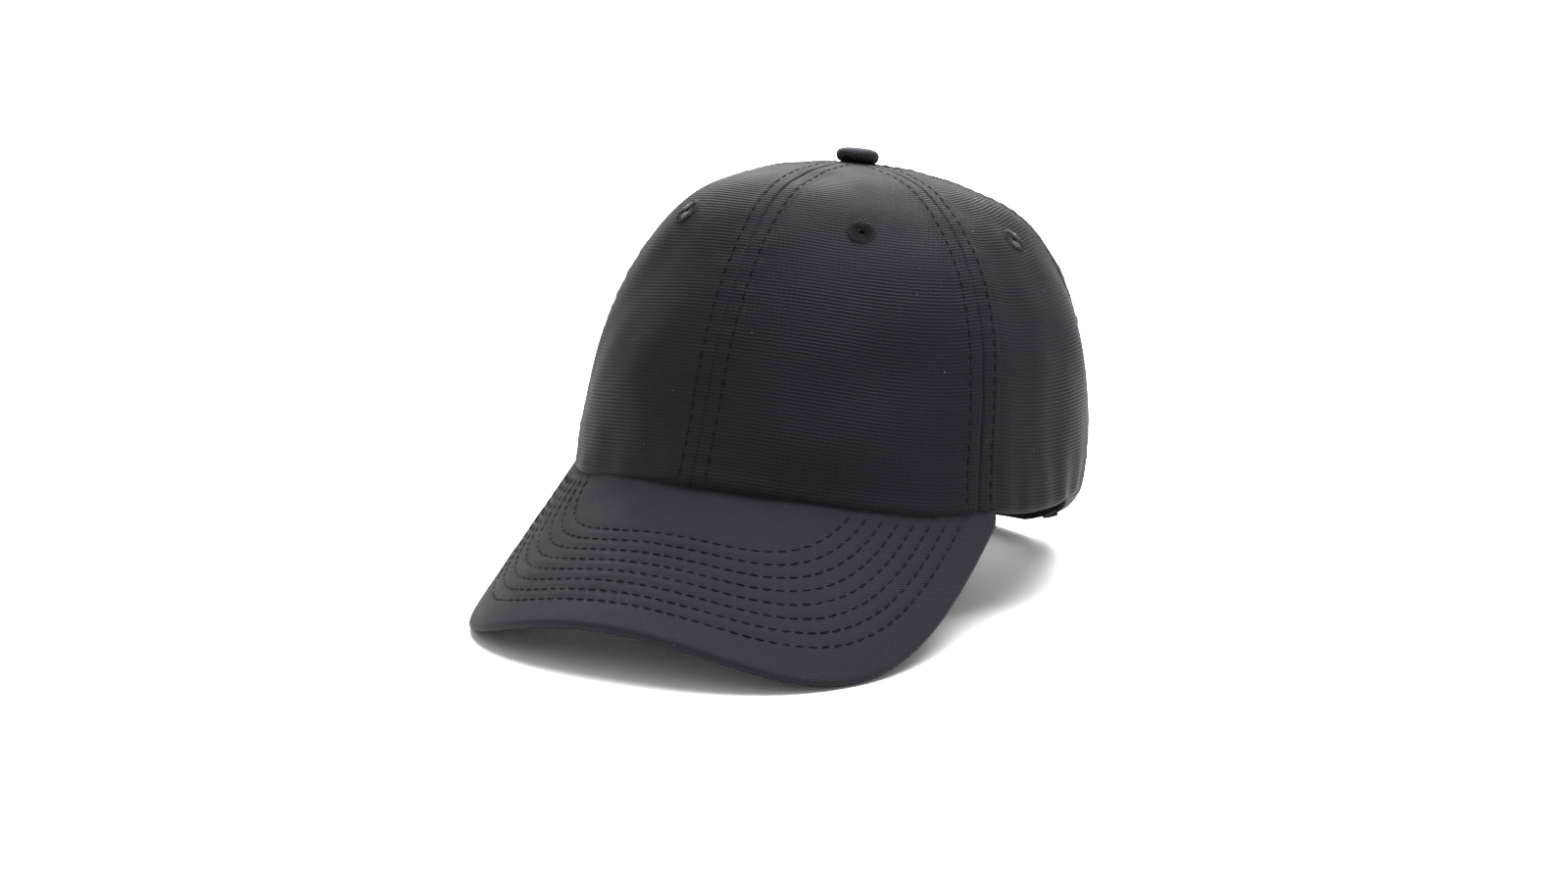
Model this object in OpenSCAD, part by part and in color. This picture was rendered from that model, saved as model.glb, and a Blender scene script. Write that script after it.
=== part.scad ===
// Six-panel cap with an arched peak and a clasp-buckle strap behind.
// The cap is drawn level, front towards -Y, and then leaned back so that the two peak corners
// and the buckle behind stand on the floor, z = 0, with the origin under the cap's middle.

/* [Head opening] */
// Half length of the head opening, towards the peak
rim_front = 94.4; // [90:0.1:98]
// Half length of the head opening, towards the strap
rim_back = 92.4; // [88:0.1:96]
// Half width of the head opening
rim_side = 92; // [86:0.5:98]
// How far the opening's edge rises at the front
front_rise = 10; // [4:0.5:14]
// How far the opening's edge rises at the sides
side_rise = 11; // [4:0.5:14]
// How far the opening's edge is drawn up further behind each side
hem_lift = 8; // [0:0.5:10]

/* [Crown] */
// Height of the crown's top above the back of the opening
crown_h = 125; // [112:1:132]
// Place of the crown's top along Y
top_y = -4.6; // [-12:0.1:6]
// How far the crown draws up to a point under the button
tip_rise = 2.5; // [0:0.1:4]
// Fullness of the plan profile at the front
full_front = 2.65; // [2.2:0.05:3.4]
// Fullness of the plan profile at the sides
full_side = 2.35; // [2.2:0.05:3.4]
// Fullness of the plan profile at the back
full_back = 3.2; // [2.2:0.05:3.4]
// Fullness of the shoulder at the front
shoulder_front = 2.4; // [2.2:0.05:3.4]
// Fullness of the shoulder at the sides
shoulder_side = 2.7; // [2.2:0.05:3.4]
// Fullness of the shoulder at the back
shoulder_back = 3.2; // [2.2:0.05:3.4]
// How far the wall draws in at half height, as a share of its distance from the middle
wall_draw = 0.03; // [0:0.005:0.05]
// Angle of the seam between front and side panels
seam_front_side = 63; // [55:1:66]
// Angle of the seam between side and back panels
seam_side_back = 121; // [116:1:126]
// Thickness of the crown cloth
cloth_t = 0.8; // [0.6:0.1:1]
// Outer width of an eyelet
eyelet_d = 10; // [8:0.5:12]
// Hole through an eyelet
eyelet_hole = 2.4; // [2:0.1:4]
// Place of the eyelets as a share of the way up a panel
eyelet_share = 0.55; // [0.5:0.01:0.65]
// Width of the seam tapes
tape_w = 12; // [8:1:16]

/* [Peak] */
// Length of the peak at the middle
peak_l = 67; // [60:1:75]
// Half width of the peak, measured along its curve
peak_half = 102; // [94:1:106]
// Radius that the peak is arched to
peak_bend = 113; // [108:1:140]
// Slope of the peak's middle below the opening's plane
peak_slope = 43.5; // [38:0.5:46]
// Angle round the opening where the peak ends
peak_end = 69; // [62:1:74]
// Squareness of the peak's outline
peak_square = 3.7; // [2.6:0.1:4.4]
// Thickness of the board inside the peak
board_t = 2; // [1.5:0.1:2.4]

/* [Sweatband] */
// Height of the sweatband
sweat_h = 32; // [26:1:38]

/* [Closure] */
// Half angle of the arch opening at the back
arch_half = 33; // [28:1:36]
// Height of the arch opening
arch_h = 58; // [50:1:66]
// Width of the strap
strap_w = 20; // [18:1:22]
// Angle from the back middle to the buckle
buckle_at = 13; // [8:1:14]
// How far the buckle's lever is opened
lever_open = 0; // [0:1:100]

/* [Stance] */
// How far the cap leans back when it stands on the floor
lean = 13.75; // [6:0.1:18]

/* [Hidden] */
$fn = 48;

cloth_col = "#2b2a2e";
inner_col = "#1f1e22";
thread_col = "#1b1a1d";
board_col = "#d8d8d4";
label_col = "#e6e6e2";
metal_col = "#8f8a80";

panel_rows = 13;
panel_cols = 10;
arch_steps = 9;
top_hole_r = 4.5;
tip_sharp = 6;
hem_lift_at = 118;
hem_lift_width = 24;
peak_leave = 56;
peak_meet = 74;
layer_gap = 0.3;
tape_t = 0.6;
tape_end_r = 15;
sweat_t = 1.4;
sweat_out = -4.6;
label_t = 0.4;
label_w = 18;
label_at = 100;
binding_w = 2.3;
cover_h = board_t / 2 + layer_gap / 2;
peak_sink = cover_h + cloth_t + 2.5 * layer_gap;
strap_t = 1;
strap_out = -3.2;
strap_z = 3.8;

// ---- crown surface: angle a is 0 at the front and grows towards the wearer's left, v is the share upwards
function unit(p) = p / norm(p);
function half_length(a) = cos(a) > 0 ? rim_front : rim_back;
function rim_r(a) = 1 / sqrt(pow(cos(a) / half_length(a), 2) + pow(sin(a) / rim_side, 2));
function smooth(x) = let (t = max(0, min(1, x))) t * t * (3 - 2 * t);
function turn(a) = a > 180 ? a - 360 : a;
function level_rim_z(a) = (cos(a) > 0 ? front_rise * pow(cos(a), 2) : 0) + side_rise * pow(sin(a), 2)
    + hem_lift * exp(-pow((abs(turn(a)) - hem_lift_at) / hem_lift_width, 2));
// The opening's edge lies on the peak in front and runs level from the peak's ends
function rim_z(a) = let (b = abs(turn(a)), f = smooth((b - peak_leave) / (peak_meet - peak_leave)))
    f >= 1 ? level_rim_z(a) : level_rim_z(a) * f + peak_rim_z(min(b, peak_meet)) * (1 - f);
function blend(a, front, side, back) = let (w = cos(a) > 0 ? pow(cos(a), 2) : pow(-cos(a), 1.5))
    (cos(a) > 0 ? front : back) * w + side * (1 - w);
function plan_share(a, v) = let (z = lift_share(a, v))
    pow(cos(90 * v), 2 / blend(a, full_front, full_side, full_back)) * (1 - 4 * wall_draw * z * (1 - z));
function lift_share(a, v) = pow(sin(90 * v), 2 / blend(a, shoulder_front, shoulder_side, shoulder_back));
function crown_point(a, v) = let (s = plan_share(a, v)) [
    rim_r(a) * sin(a) * s,
    top_y + (-rim_r(a) * cos(a) - top_y) * s,
    rim_z(a) + (crown_h - rim_z(a)) * lift_share(a, v) + tip_rise * pow(1 - s, tip_sharp)];
function crown_normal(a, v) = let (
    round_step = crown_point(a + 0.5, v) - crown_point(a - 0.5, v),
    up_step = crown_point(a, v + 0.005) - crown_point(a, max(v - 0.005, 0)))
    unit(cross(round_step, up_step));
function crown_at(a, v, off) = crown_point(a, v) + off * crown_normal(a, v);
function share_at(a, h) = asin(pow(min(1, h / (crown_h - rim_z(a))),
    blend(a, shoulder_front, shoulder_side, shoulder_back) / 2)) / 90;
function share_at_radius(a, r) = acos(pow(r / rim_r(a), blend(a, full_front, full_side, full_back) / 2)) / 90;
function arch_angle(t) = 180 - arch_half * cos(t);
function span(a0, a1, n) = [for (i = [0:n]) a0 + (a1 - a0) * i / n];

// ---- a closed solid between two grids of points, the first one outside
function slab_faces(ni, nj) = let (m = ni * nj) concat(
    [for (i = [0:ni - 2], j = [0:nj - 2], c = [i * nj + j],
        f = [[c, c + 1, c + nj + 1], [c, c + nj + 1, c + nj]]) f],
    [for (i = [0:ni - 2], j = [0:nj - 2], c = [m + i * nj + j],
        f = [[c, c + nj + 1, c + 1], [c, c + nj, c + nj + 1]]) f],
    [for (i = [0:ni - 2], c = [i * nj], f = [[c, c + nj, m + c + nj], [c, m + c + nj, m + c]]) f],
    [for (i = [0:ni - 2], c = [i * nj + nj - 1],
        f = [[c + nj, c, m + c], [c + nj, m + c, m + c + nj]]) f],
    [for (c = [0:nj - 2], f = [[c + 1, c, m + c], [c + 1, m + c, m + c + 1]]) f],
    [for (c = [m - nj:m - 2], f = [[c, c + 1, m + c + 1], [c, m + c + 1, m + c]]) f]);
module slab(outside, inside) {
    polyhedron(points = concat([for (row = outside) each row], [for (row = inside) each row]),
        faces = slab_faces(len(outside), len(outside[0])));
}
// A layer of the crown: for each angle its lowest share, highest share and outer face
module crown_layer(angles, lows, tops, rows, outs, t) {
    function grid(sunk) = [for (i = [0:len(angles) - 1]) [for (j = [0:rows])
        crown_at(angles[i], lows[i] + (tops[i] - lows[i]) * j / rows, outs[i] - sunk)]];
    slab(grid(0), grid(t));
}
function same(list, value) = [for (item = list) value];

// ---- peak: a flat outline (u across, w forward) bent round a cylinder and sloped down; h is the height
// over the surface that the opening's edge lies on
function deg(x) = x * 180 / PI;
function peak_place(u, w, h) = let (g = deg(u / peak_bend),
    x = (peak_bend + h) * sin(g), drop = peak_bend - (peak_bend + h) * cos(g)) [
    x,
    -rim_front - w * cos(peak_slope) + drop * sin(peak_slope),
    front_rise - w * sin(peak_slope) - drop * cos(peak_slope)];
function rim_bend(a, out) = asin((rim_r(a) + out) * sin(a) / peak_bend);
function rim_u(a, out) = peak_bend * rim_bend(a, out) * PI / 180;
function rim_w(a, out) = let (drop = peak_bend * (1 - cos(rim_bend(a, out))))
    (-rim_front + drop * sin(peak_slope) + (rim_r(a) + out) * cos(a)) / cos(peak_slope);
function peak_rim_z(a) = peak_place(rim_u(a, 0), rim_w(a, 0), 0)[2];
end_u = rim_u(peak_end, 0);
end_w = rim_w(peak_end, 0);
function edge_w(t, inset) = end_w + pow(abs(sin(t)), 2 / peak_square) * (peak_l - end_w - inset);
function edge_half(w) = let (s = min(1, (w - end_w) / (peak_l - end_w)))
    end_u * pow(1 - s, 2) + peak_half * (1 - pow(1 - s, 2));
function edge_u(t, inset) = -sign(cos(t)) * pow(abs(cos(t)), 2 / peak_square)
    * (edge_half(edge_w(t, inset)) - inset);

// ---- sizes and place of the buckle
// Buckle's own axes: X outwards, Y along the strap towards the tab, Z across the strap
buckle_angle = 180 + buckle_at;
ear_gap = 0.4;
ear_t = 1.4;
ear_len = 11;
ear_in = -2.9;
ear_out = 4.6;
base_t = 0.8;
frame_half = strap_w / 2 + ear_gap + ear_t;
buckle_share = share_at(buckle_angle, strap_z + strap_w / 2 - rim_z(buckle_angle));
buckle_mid = crown_at(buckle_angle, buckle_share, strap_out - strap_t / 2);
buckle_out = crown_normal(buckle_angle, buckle_share);
buckle_along = unit([-buckle_out[1], buckle_out[0], 0]);
buckle_up = cross(buckle_out, buckle_along);
pin_x = 2.9;
pin_y = 7;
pin_d = 2;
bar_x = 1.8;
bar_y = 14.3;
bar_d = 2;
bar_clear = 0.12;
rail_end = 15.8;
lever_t = 1.2;
lever_end = 14;

// ---- stance: lean back about the X axis, then stand on the floor with the cap's length centred on the origin
function leaned_y(p) = p[1] * cos(lean) + p[2] * sin(lean);
function leaned_z(p) = p[2] * cos(lean) - p[1] * sin(lean);
function lowest(points) = min([for (p = points) leaned_z(p)]);
floor_lift = -min(
    lowest([for (t = [0:4:180]) peak_place(edge_u(t, 0), edge_w(t, 0), -cover_h - cloth_t - peak_sink)]),
    lowest([for (a = [140:1:180 - arch_half]) crown_at(a, 0, 0)]),
    lowest([for (y = [-ear_len, ear_len])
        buckle_mid + ear_out * buckle_out + y * buckle_along - frame_half * buckle_up]));
front_end = min([for (t = [0:5:180])
    leaned_y(peak_place(edge_u(t, 0), edge_w(t, 0), cover_h + cloth_t - peak_sink))]);
back_end = max([for (v = [share_at(180, arch_h):0.01:0.8]) leaned_y(crown_point(180, v))]);
module stand() {
    translate([0, -(front_end + back_end) / 2, floor_lift]) rotate([-lean, 0, 0]) children();
}
module on_side(s) {
    if (s > 0) children();
    else mirror([1, 0, 0]) children();
}

// ---- crown panels and their eyelets
module eyelet_place(a) {
    n = crown_normal(a, eyelet_share);
    translate(crown_point(a, eyelet_share)) rotate([0, acos(n[2]), atan2(n[1], n[0])]) children();
}
module panel(s, a0, a1) {
    angles = span(a0, a1, panel_cols);
    color(cloth_col) stand() on_side(s) difference() {
        crown_layer(angles, same(angles, 0), [for (a = angles) share_at_radius(a, top_hole_r)],
            panel_rows, same(angles, 0), cloth_t);
        eyelet_place((a0 + a1) / 2) cylinder(h = 8, d = eyelet_d + layer_gap, center = true);
    }
}
module back_panel(s) {
    plain = span(seam_side_back, 180 - arch_half, 5);
    steps = [for (i = [1:arch_steps]) 90 * i / arch_steps];
    angles = concat(plain, [for (t = steps) arch_angle(t)]);
    lows = concat([for (a = plain) 0], [for (t = steps) share_at(arch_angle(t), arch_h * sin(t))]);
    color(cloth_col) stand() on_side(s) difference() {
        crown_layer(angles, lows, [for (a = angles) share_at_radius(a, top_hole_r)],
            panel_rows, same(angles, 0), cloth_t);
        eyelet_place((seam_side_back + 180) / 2) cylinder(h = 8, d = eyelet_d + layer_gap, center = true);
    }
}
module eyelet(s, a0, a1) {
    color(thread_col) stand() on_side(s) eyelet_place((a0 + a1) / 2) difference() {
        cylinder(h = 1.6, d = eyelet_d, center = true);
        cylinder(h = 4, d = eyelet_hole, center = true);
    }
}

// ---- seam tapes: flat strips that follow a seam inside the crown
tape_out = -cloth_t - 2 * layer_gap;
function seam_across(a, v) = unit(cross(crown_point(a, v + 0.005) - crown_point(a, v), crown_normal(a, v)));
function tape_row(a, v, off, flip) = let (p = crown_at(a, v, off), w = seam_across(a, v) * flip * tape_w / 2)
    [p - w, p + w];
module tape(s, a) {
    rows = span(share_at_radius(a, tape_end_r), 0, 12);
    color(inner_col) stand() on_side(s) slab(
        [for (v = rows) tape_row(a, v, tape_out, 1)],
        [for (v = rows) tape_row(a, v, tape_out - tape_t, 1)]);
}
module middle_tape() {
    front = span(0, share_at_radius(0, top_hole_r), 12);
    back = span(share_at_radius(180, top_hole_r), share_at(180, arch_h + 0.5), 8);
    function grid(off) = concat([for (v = front) tape_row(0, v, off, -1)],
        [for (v = back) tape_row(180, v, off, 1)]);
    color(inner_col) stand() difference() {
        slab(grid(tape_out), grid(tape_out - tape_t));
        translate([0, top_y, crown_h]) cylinder(h = 20, r = post_r + layer_gap, center = true);
    }
}

// ---- button: a covered core whose post is clinched over a washer inside the crown
button_r = 7.5;
button_h = 5.2;
button_skin = 0.7;
post_r = 1.6;
washer_t = 0.8;
washer_r = 6;
button_z = max([for (a = [0:30:180]) crown_point(a, share_at_radius(a, top_hole_r))[2]]) + layer_gap;
washer_z = crown_h - washer_t - 0.6 - button_z;
function button_profile(r, h, z0) = [for (t = [-90:7.5:90])
    [r * pow(abs(cos(t)), 0.62), z0 + h / 2 + sign(t) * h / 2 * pow(abs(sin(t)), 0.8)]];
module at_top() {
    color(cloth_col) stand() translate([0, top_y, button_z]) children();
}
module button_cover() {
    at_top() difference() {
        rotate_extrude() polygon(button_profile(button_r, button_h, 0));
        rotate_extrude()
            polygon(button_profile(button_r - button_skin, button_h - 2 * button_skin, button_skin));
        cylinder(h = 2 * button_skin + 1, r = button_r - 2.5, center = true);
    }
}
module button_core() {
    slack = button_skin + 0.1;
    at_top() {
        rotate_extrude() polygon(button_profile(button_r - slack, button_h - 2 * slack, slack));
        translate([0, 0, washer_z - 0.5]) cylinder(h = button_h / 2 - washer_z, r = post_r);
    }
}
module button_washer() {
    at_top() translate([0, 0, washer_z]) difference() {
        cylinder(h = washer_t, r = washer_r);
        translate([0, 0, -1]) cylinder(h = washer_t + 2, r = post_r + 0.05);
    }
}

// ---- peak: covers and board
peak_steps = 36;
peak_rows = 7;
edge_tuck = 1;
// Grid over the peak: each line runs from the head opening to the outline, rows ends given from the edge
function peak_grid(inset, out, h_in, h_edge, lip) = [for (i = [0:peak_steps]) let (
    t = 177.5 - 175 * i / peak_steps,
    a = -peak_end * 0.985 * cos(t),
    tuck = out - edge_tuck * (1 - smooth((abs(a) - peak_leave) / 10)),
    p = [rim_u(a, tuck), rim_w(a, tuck)],
    q = [edge_u(t, inset), edge_w(t, inset)],
    d = norm(q - p),
    shares = concat([for (j = [0:peak_rows]) (1 - (lip + 0.3) / d) * j / peak_rows], [1 - lip / d, 1]))
    [for (j = [0:len(shares) - 1]) let (m = p + (q - p) * shares[j])
        peak_place(m[0], m[1], (j > peak_rows ? h_edge : h_in) - peak_sink)]];
cover_lip = 1.6;
cover_in = 0.5;
under_in = 1.4;
module peak_cover_top() {
    color(cloth_col) stand() slab(
        peak_grid(0, cover_in, cover_h + cloth_t, cover_h + cloth_t, cover_lip),
        peak_grid(0, cover_in, cover_h, 0.05, cover_lip));
}
module peak_cover_under() {
    color(cloth_col) stand() slab(
        peak_grid(0, under_in, -cover_h, -0.05, cover_lip),
        peak_grid(0, under_in, -cover_h - cloth_t, -cover_h - cloth_t, cover_lip));
}
module peak_board() {
    color(board_col) stand() slab(
        peak_grid(cover_lip + 0.6, 2.5, board_t / 2, board_t / 2, 1),
        peak_grid(cover_lip + 0.6, 2.5, -board_t / 2, -board_t / 2, 1));
}

// ---- sweatband and care label
module sweatband() {
    reach = 180 - arch_half - 1;
    angles = span(-reach, reach, 56);
    color(inner_col) stand() crown_layer(angles, [for (a = angles) share_at(a, 0.6)],
        [for (a = angles) share_at(a, sweat_h)], 4, same(angles, sweat_out), sweat_t);
}
module care_label() {
    angles = span(label_at - 9, label_at + 9, 4);
    out = sweat_out - sweat_t - layer_gap;
    color(label_col) stand() crown_layer(angles, [for (a = angles) share_at(a, 6)],
        [for (a = angles) share_at(a, 6 + label_w)], 3, same(angles, out), label_t);
}

// ---- back opening: binding round the arch
module arch_binding() {
    steps = [for (i = [0:2 * arch_steps]) 90 * i / arch_steps];
    function edge(t, off, inset) = let (half = arch_half - inset / rim_back * 180 / PI,
        a = 180 - half * cos(t)) crown_at(a, share_at(a, (arch_h - inset) * sin(t)), off);
    color(cloth_col) stand() slab(
        [for (t = steps) [edge(t, 0.5, binding_w), edge(t, 0.5, layer_gap)]],
        [for (t = steps) [edge(t, -1.4, binding_w), edge(t, -1.4, layer_gap)]]);
}

// ---- strap, tab and clasp buckle, laid out in plan and raised to the strap's width
tab_t = 0.8;
tab_out = -1.8;
tab_start = -0.4;
module band(a0, a1, n, outs, t) {
    angles = span(a0, a1, n);
    crown_layer(angles, [for (a = angles) share_at(a, max(0.5, strap_z - rim_z(a)))],
        [for (a = angles) share_at(a, max(0.5, strap_z - rim_z(a)) + strap_w)], 3, outs, t);
}
module strap() {
    color(cloth_col) stand()
        band(180 - arch_half - 9, 180 + arch_half + 14, 36, same([0:36], strap_out), strap_t);
}
module buckle_place() {
    stand() translate(buckle_mid)
        rotate([0, -asin(buckle_out[2]), atan2(buckle_out[1], buckle_out[0])]) children();
}
module strap_tab() {
    start = buckle_angle + (bar_y + 1.6) / rim_r(buckle_angle) * 180 / PI;
    sunk = buckle_angle + arch_half - buckle_at - 5;
    angles = span(start, 180 + arch_half + 9, 14);
    outs = [for (a = angles) tab_start + (tab_out - tab_start) * min(1, (a - start) / (sunk - start))];
    color(cloth_col) {
        buckle_place() linear_extrude(height = strap_w, center = true) difference() {
            translate([bar_x, bar_y]) circle(r = bar_d / 2 + bar_clear + tab_t);
            translate([bar_x, bar_y]) circle(r = bar_d / 2 + bar_clear);
        }
        stand() band(start, 180 + arch_half + 9, 14, outs, tab_t);
    }
}
module buckle_frame() {
    color(metal_col) buckle_place() {
        difference() {
            union() {
                for (z = [-1, 1]) translate([0, 0, z * (frame_half - ear_t / 2)]) {
                    translate([ear_in, -ear_len, -ear_t / 2]) cube([ear_out - ear_in, 2 * ear_len, ear_t]);
                    translate([ear_in, 0, -ear_t / 2]) cube([bar_x + 1.4 - ear_in, rail_end, ear_t]);
                }
                translate([ear_in, -ear_len, -frame_half]) cube([base_t, 2 * ear_len - 1, 2 * frame_half]);
            }
            translate([pin_x, pin_y, 0]) cylinder(h = 3 * frame_half, d = pin_d + 0.04, center = true);
        }
        translate([bar_x, bar_y, 0]) cylinder(h = 2 * frame_half - ear_t, d = bar_d, center = true);
    }
}
module buckle_pin() {
    color(metal_col) buckle_place() translate([pin_x, pin_y, 0])
        cylinder(h = 2 * frame_half, d = pin_d, center = true);
}
module buckle_lever() {
    lever_half = strap_w / 2 + 0.1;
    hub_r = 1.7;
    cam_r = 2.1;
    color(metal_col) buckle_place() translate([pin_x, pin_y, 0]) rotate([0, 0, lever_open]) difference() {
        union() {
            cylinder(h = 2 * lever_half, r = hub_r, center = true);
            translate([-cam_r, -1, -lever_half]) cube([cam_r, 2, 2 * lever_half]);
            translate([hub_r - lever_t, -pin_y - lever_end, -lever_half])
                cube([lever_t, pin_y + lever_end, 2 * lever_half]);
            translate([hub_r, -pin_y - lever_end, -lever_half]) cube([0.8, 1.6, 2 * lever_half]);
        }
        cylinder(h = 3 * lever_half, d = pin_d + 0.1, center = true);
    }
}

panel(1, 0, seam_front_side);  // panel_front_left
panel(-1, 0, seam_front_side);  // panel_front_right
panel(1, seam_front_side, seam_side_back);  // panel_side_left
panel(-1, seam_front_side, seam_side_back);  // panel_side_right
back_panel(1);  // panel_back_left
back_panel(-1);  // panel_back_right
eyelet(1, 0, seam_front_side);  // eyelet_front_left
eyelet(-1, 0, seam_front_side);  // eyelet_front_right
eyelet(1, seam_front_side, seam_side_back);  // eyelet_side_left
eyelet(-1, seam_front_side, seam_side_back);  // eyelet_side_right
eyelet(1, seam_side_back, 180);  // eyelet_back_left
eyelet(-1, seam_side_back, 180);  // eyelet_back_right
middle_tape();  // tape_middle
tape(1, seam_front_side);  // tape_front_left
tape(-1, seam_front_side);  // tape_front_right
tape(1, seam_side_back);  // tape_back_left
tape(-1, seam_side_back);  // tape_back_right
button_cover();
button_core();
button_washer();
peak_cover_top();
peak_board();
peak_cover_under();
sweatband();
care_label();
arch_binding();
strap();
strap_tab();
buckle_frame();
buckle_pin();
buckle_lever();
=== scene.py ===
"""A cloth cap with six crown panels, an arched and row-stitched peak and a strap with a clasp buckle,
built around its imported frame. The cap is worked out level, front towards -Y, and then leaned back."""

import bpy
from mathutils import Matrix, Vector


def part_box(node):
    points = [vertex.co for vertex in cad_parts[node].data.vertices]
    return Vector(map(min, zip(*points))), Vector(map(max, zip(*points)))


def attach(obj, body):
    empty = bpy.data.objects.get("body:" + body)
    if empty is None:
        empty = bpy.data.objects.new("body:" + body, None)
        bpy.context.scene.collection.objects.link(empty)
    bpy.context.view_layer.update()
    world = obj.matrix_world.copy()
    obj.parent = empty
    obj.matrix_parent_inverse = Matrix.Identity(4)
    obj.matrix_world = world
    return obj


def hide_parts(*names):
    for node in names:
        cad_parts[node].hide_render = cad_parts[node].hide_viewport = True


bl_info = {
    "name": "Six-panel cap",
    "version": (1, 0, 0),
    "blender": (4, 5, 0),
    "location": "View3D > Sidebar > Cap",
    "description": "Cloth cap with an arched, row-stitched peak, thread eyelets and a clasp-buckle strap",
    "category": "Object",
}

import math
import random
from contextlib import contextmanager

import bmesh
import bpy
import numpy as np
from bpy.props import FloatProperty, FloatVectorProperty, IntProperty, PointerProperty
from mathutils import Quaternion, Vector

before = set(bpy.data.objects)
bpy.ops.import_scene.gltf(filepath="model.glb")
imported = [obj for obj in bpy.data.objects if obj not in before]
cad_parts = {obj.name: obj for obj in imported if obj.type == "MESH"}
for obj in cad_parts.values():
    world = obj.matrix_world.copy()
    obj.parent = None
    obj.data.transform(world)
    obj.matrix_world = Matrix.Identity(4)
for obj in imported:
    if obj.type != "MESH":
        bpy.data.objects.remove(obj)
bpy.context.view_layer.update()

MM = 0.001
UV_NAME = "cloth"
SEAMS = (0, 63, 121, 180)  # degrees round the crown from the front, the same on both sides
PANELS = (("front", 0, 63), ("side", 63, 121), ("back", 121, 180))
SIDES = (("left", 1), ("right", -1))
SIX = [(label, side_name, side, a0, a1) for side_name, side in SIDES for label, a0, a1 in PANELS]

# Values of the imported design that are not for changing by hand; out is a distance outside the crown's face
TOP_HOLE_R = 4.5 * MM  # hole at the crown's top for the button's post
TIP_SHARP = 6  # how suddenly the crown draws up under the button
BACK_BLEND = 1.5  # how the back's profile gives way to the side's
HEM_LIFT_AT = math.radians(118)  # where the opening's edge is drawn up, and how widely
HEM_LIFT_WIDTH = math.radians(24)
SIDE_LIFT = 1.2 * MM  # a further, narrower lift on each side
SIDE_LIFT_AT = math.radians(104)
SIDE_LIFT_WIDTH = math.radians(16)
PEAK_LEAVE = math.radians(56)  # the edge lies on the peak up to here and runs level from PEAK_MEET
PEAK_MEET = math.radians(74)
PEAK_GAPS = 2.5  # gaps between the opening's edge and the board, in LAYER_GAP
ROOT_WIDER = 2.0 * MM  # the cloth covers stand out over the board beside the crown
LAYER_GAP = 0.3 * MM
EYELET_SHARE = 0.55  # share up the panel at which the eyelets sit
EYELET_CUT_R = 2.4 * MM  # hole cut in the panel under an eyelet
TAPE_T = 0.6 * MM
TAPE_END_R = 15 * MM  # the short tapes end this far from the crown's middle line
TAPE_HOLE_R = 2.2 * MM  # hole in the long tape for the button's post
SWEAT_T = 1.4 * MM
SWEAT_OUT = -4.6 * MM
SWEAT_FOLD_OUT = 2.6 * MM  # how far the sweatband's lower fold reaches back out
LABEL_AT = math.radians(100)
LABEL_HALF = math.radians(9)
LABEL_W = 18 * MM
STRAP_T = 1.0 * MM
STRAP_OUT = -3.2 * MM
STRAP_Z = 3.8 * MM  # lower edge of the strap above the back of the opening
TAB_T = 0.8 * MM
TAB_OUT = -1.8 * MM
TAB_START = -0.4 * MM
BAR = (1.8 * MM, 14.3 * MM)  # the tab's bar in the buckle's own axes: out, along the strap
BAR_R = 1.0 * MM
BAR_CLEAR = 0.12 * MM
WASHER_DROP = 1.0 * MM
BUTTON_R = 7.7 * MM
BUTTON_H = 5.9 * MM
BUTTON_SINK = 0.3 * MM  # how deep the button sits in the cloth

# Soft shape that every layer of the crown shares, in millimetres
BELLY = 1.1  # a panel's middle stands out between its seams
BELLY_REACH = 34 * MM
BELLY_HEIGHT = 30 * MM
DENT_DEPTH = 0.8
SLACK = (  # amount, one side or both, place (left is +) and spread in degrees, measure, level, spread
    (1.0, "one", 122, 34, "height", 84, 30),
    (0.9, "one", -86, 40, "height", 96, 24),
    (0.9, "both", 130, 60, "radius", 24, 14),
    (-0.9, "one", -60, 30, "height", 60, 24),
    (-1.1, "both", 64, 22, "height", 0, 12),
    (-1.9, "one", -62, 15, "height", 0, 8),
)
HEM_DRAWN_IN = 3.6  # the lower back corners round in towards the head
HEM_DRAWN_AT = math.radians(108)
HEM_DRAWN_WIDTH = math.radians(26)
HEM_ROUND_H = 14 * MM

# Relief of the outer cloth
SEAM_DEPTH, SEAM_WIDTH = 0.62, 0.5 * MM
SEAM_STAND = 0.30  # the seam allowance lies under the cloth and lifts it
ALLOWANCE, ALLOWANCE_EDGE = 5.2 * MM, 2.2 * MM
ROW_DEPTH, ROW_WIDTH = 0.26, 0.65 * MM
PUCKER, PUCKER_PITCH, PUCKER_REACH = 0.13 * MM, 6.1 * MM, 5 * MM
CREASE_DEPTH = 0.2 * MM
FOLD_HEIGHT = 19 * MM  # the small folds over the hem, deepest behind the wearer's left side
FOLD_LEFT, FOLD_ALL = 0.42, 0.08
FOLD_AT, FOLD_SPREAD = math.radians(108), math.radians(24)
FOLD_PITCH, FOLD_DRIFT = 12.5 * MM, 17 * MM
FOLD_SLANT, FOLD_SWAY = 0.35, 1.6
ROLL_R = 2.6 * MM  # the lower edge rolls in
HEM_BEAD, HEM_BEAD_H, HEM_BEAD_WIDTH = 0.30 * MM, 3.4 * MM, 2.4 * MM
EYELET_DIMPLE, EYELET_DIMPLE_R = 0.5 * MM, 7.5 * MM
CALM_R, CALM_REACH = 8 * MM, 30 * MM  # the soft shape fades out towards the button
SEAM_FADE_R, SEAM_FADE_REACH = 6 * MM, 4 * MM

MEAN_R = 0.09  # the opening's mean radius, for measuring cloth round it
SWEAT_CLOTH_T = SWEAT_T * 0.9
SHARE_STEP = 0.005
HALVINGS = 34
TINY = 1e-6


# ---- what a user would change

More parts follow.
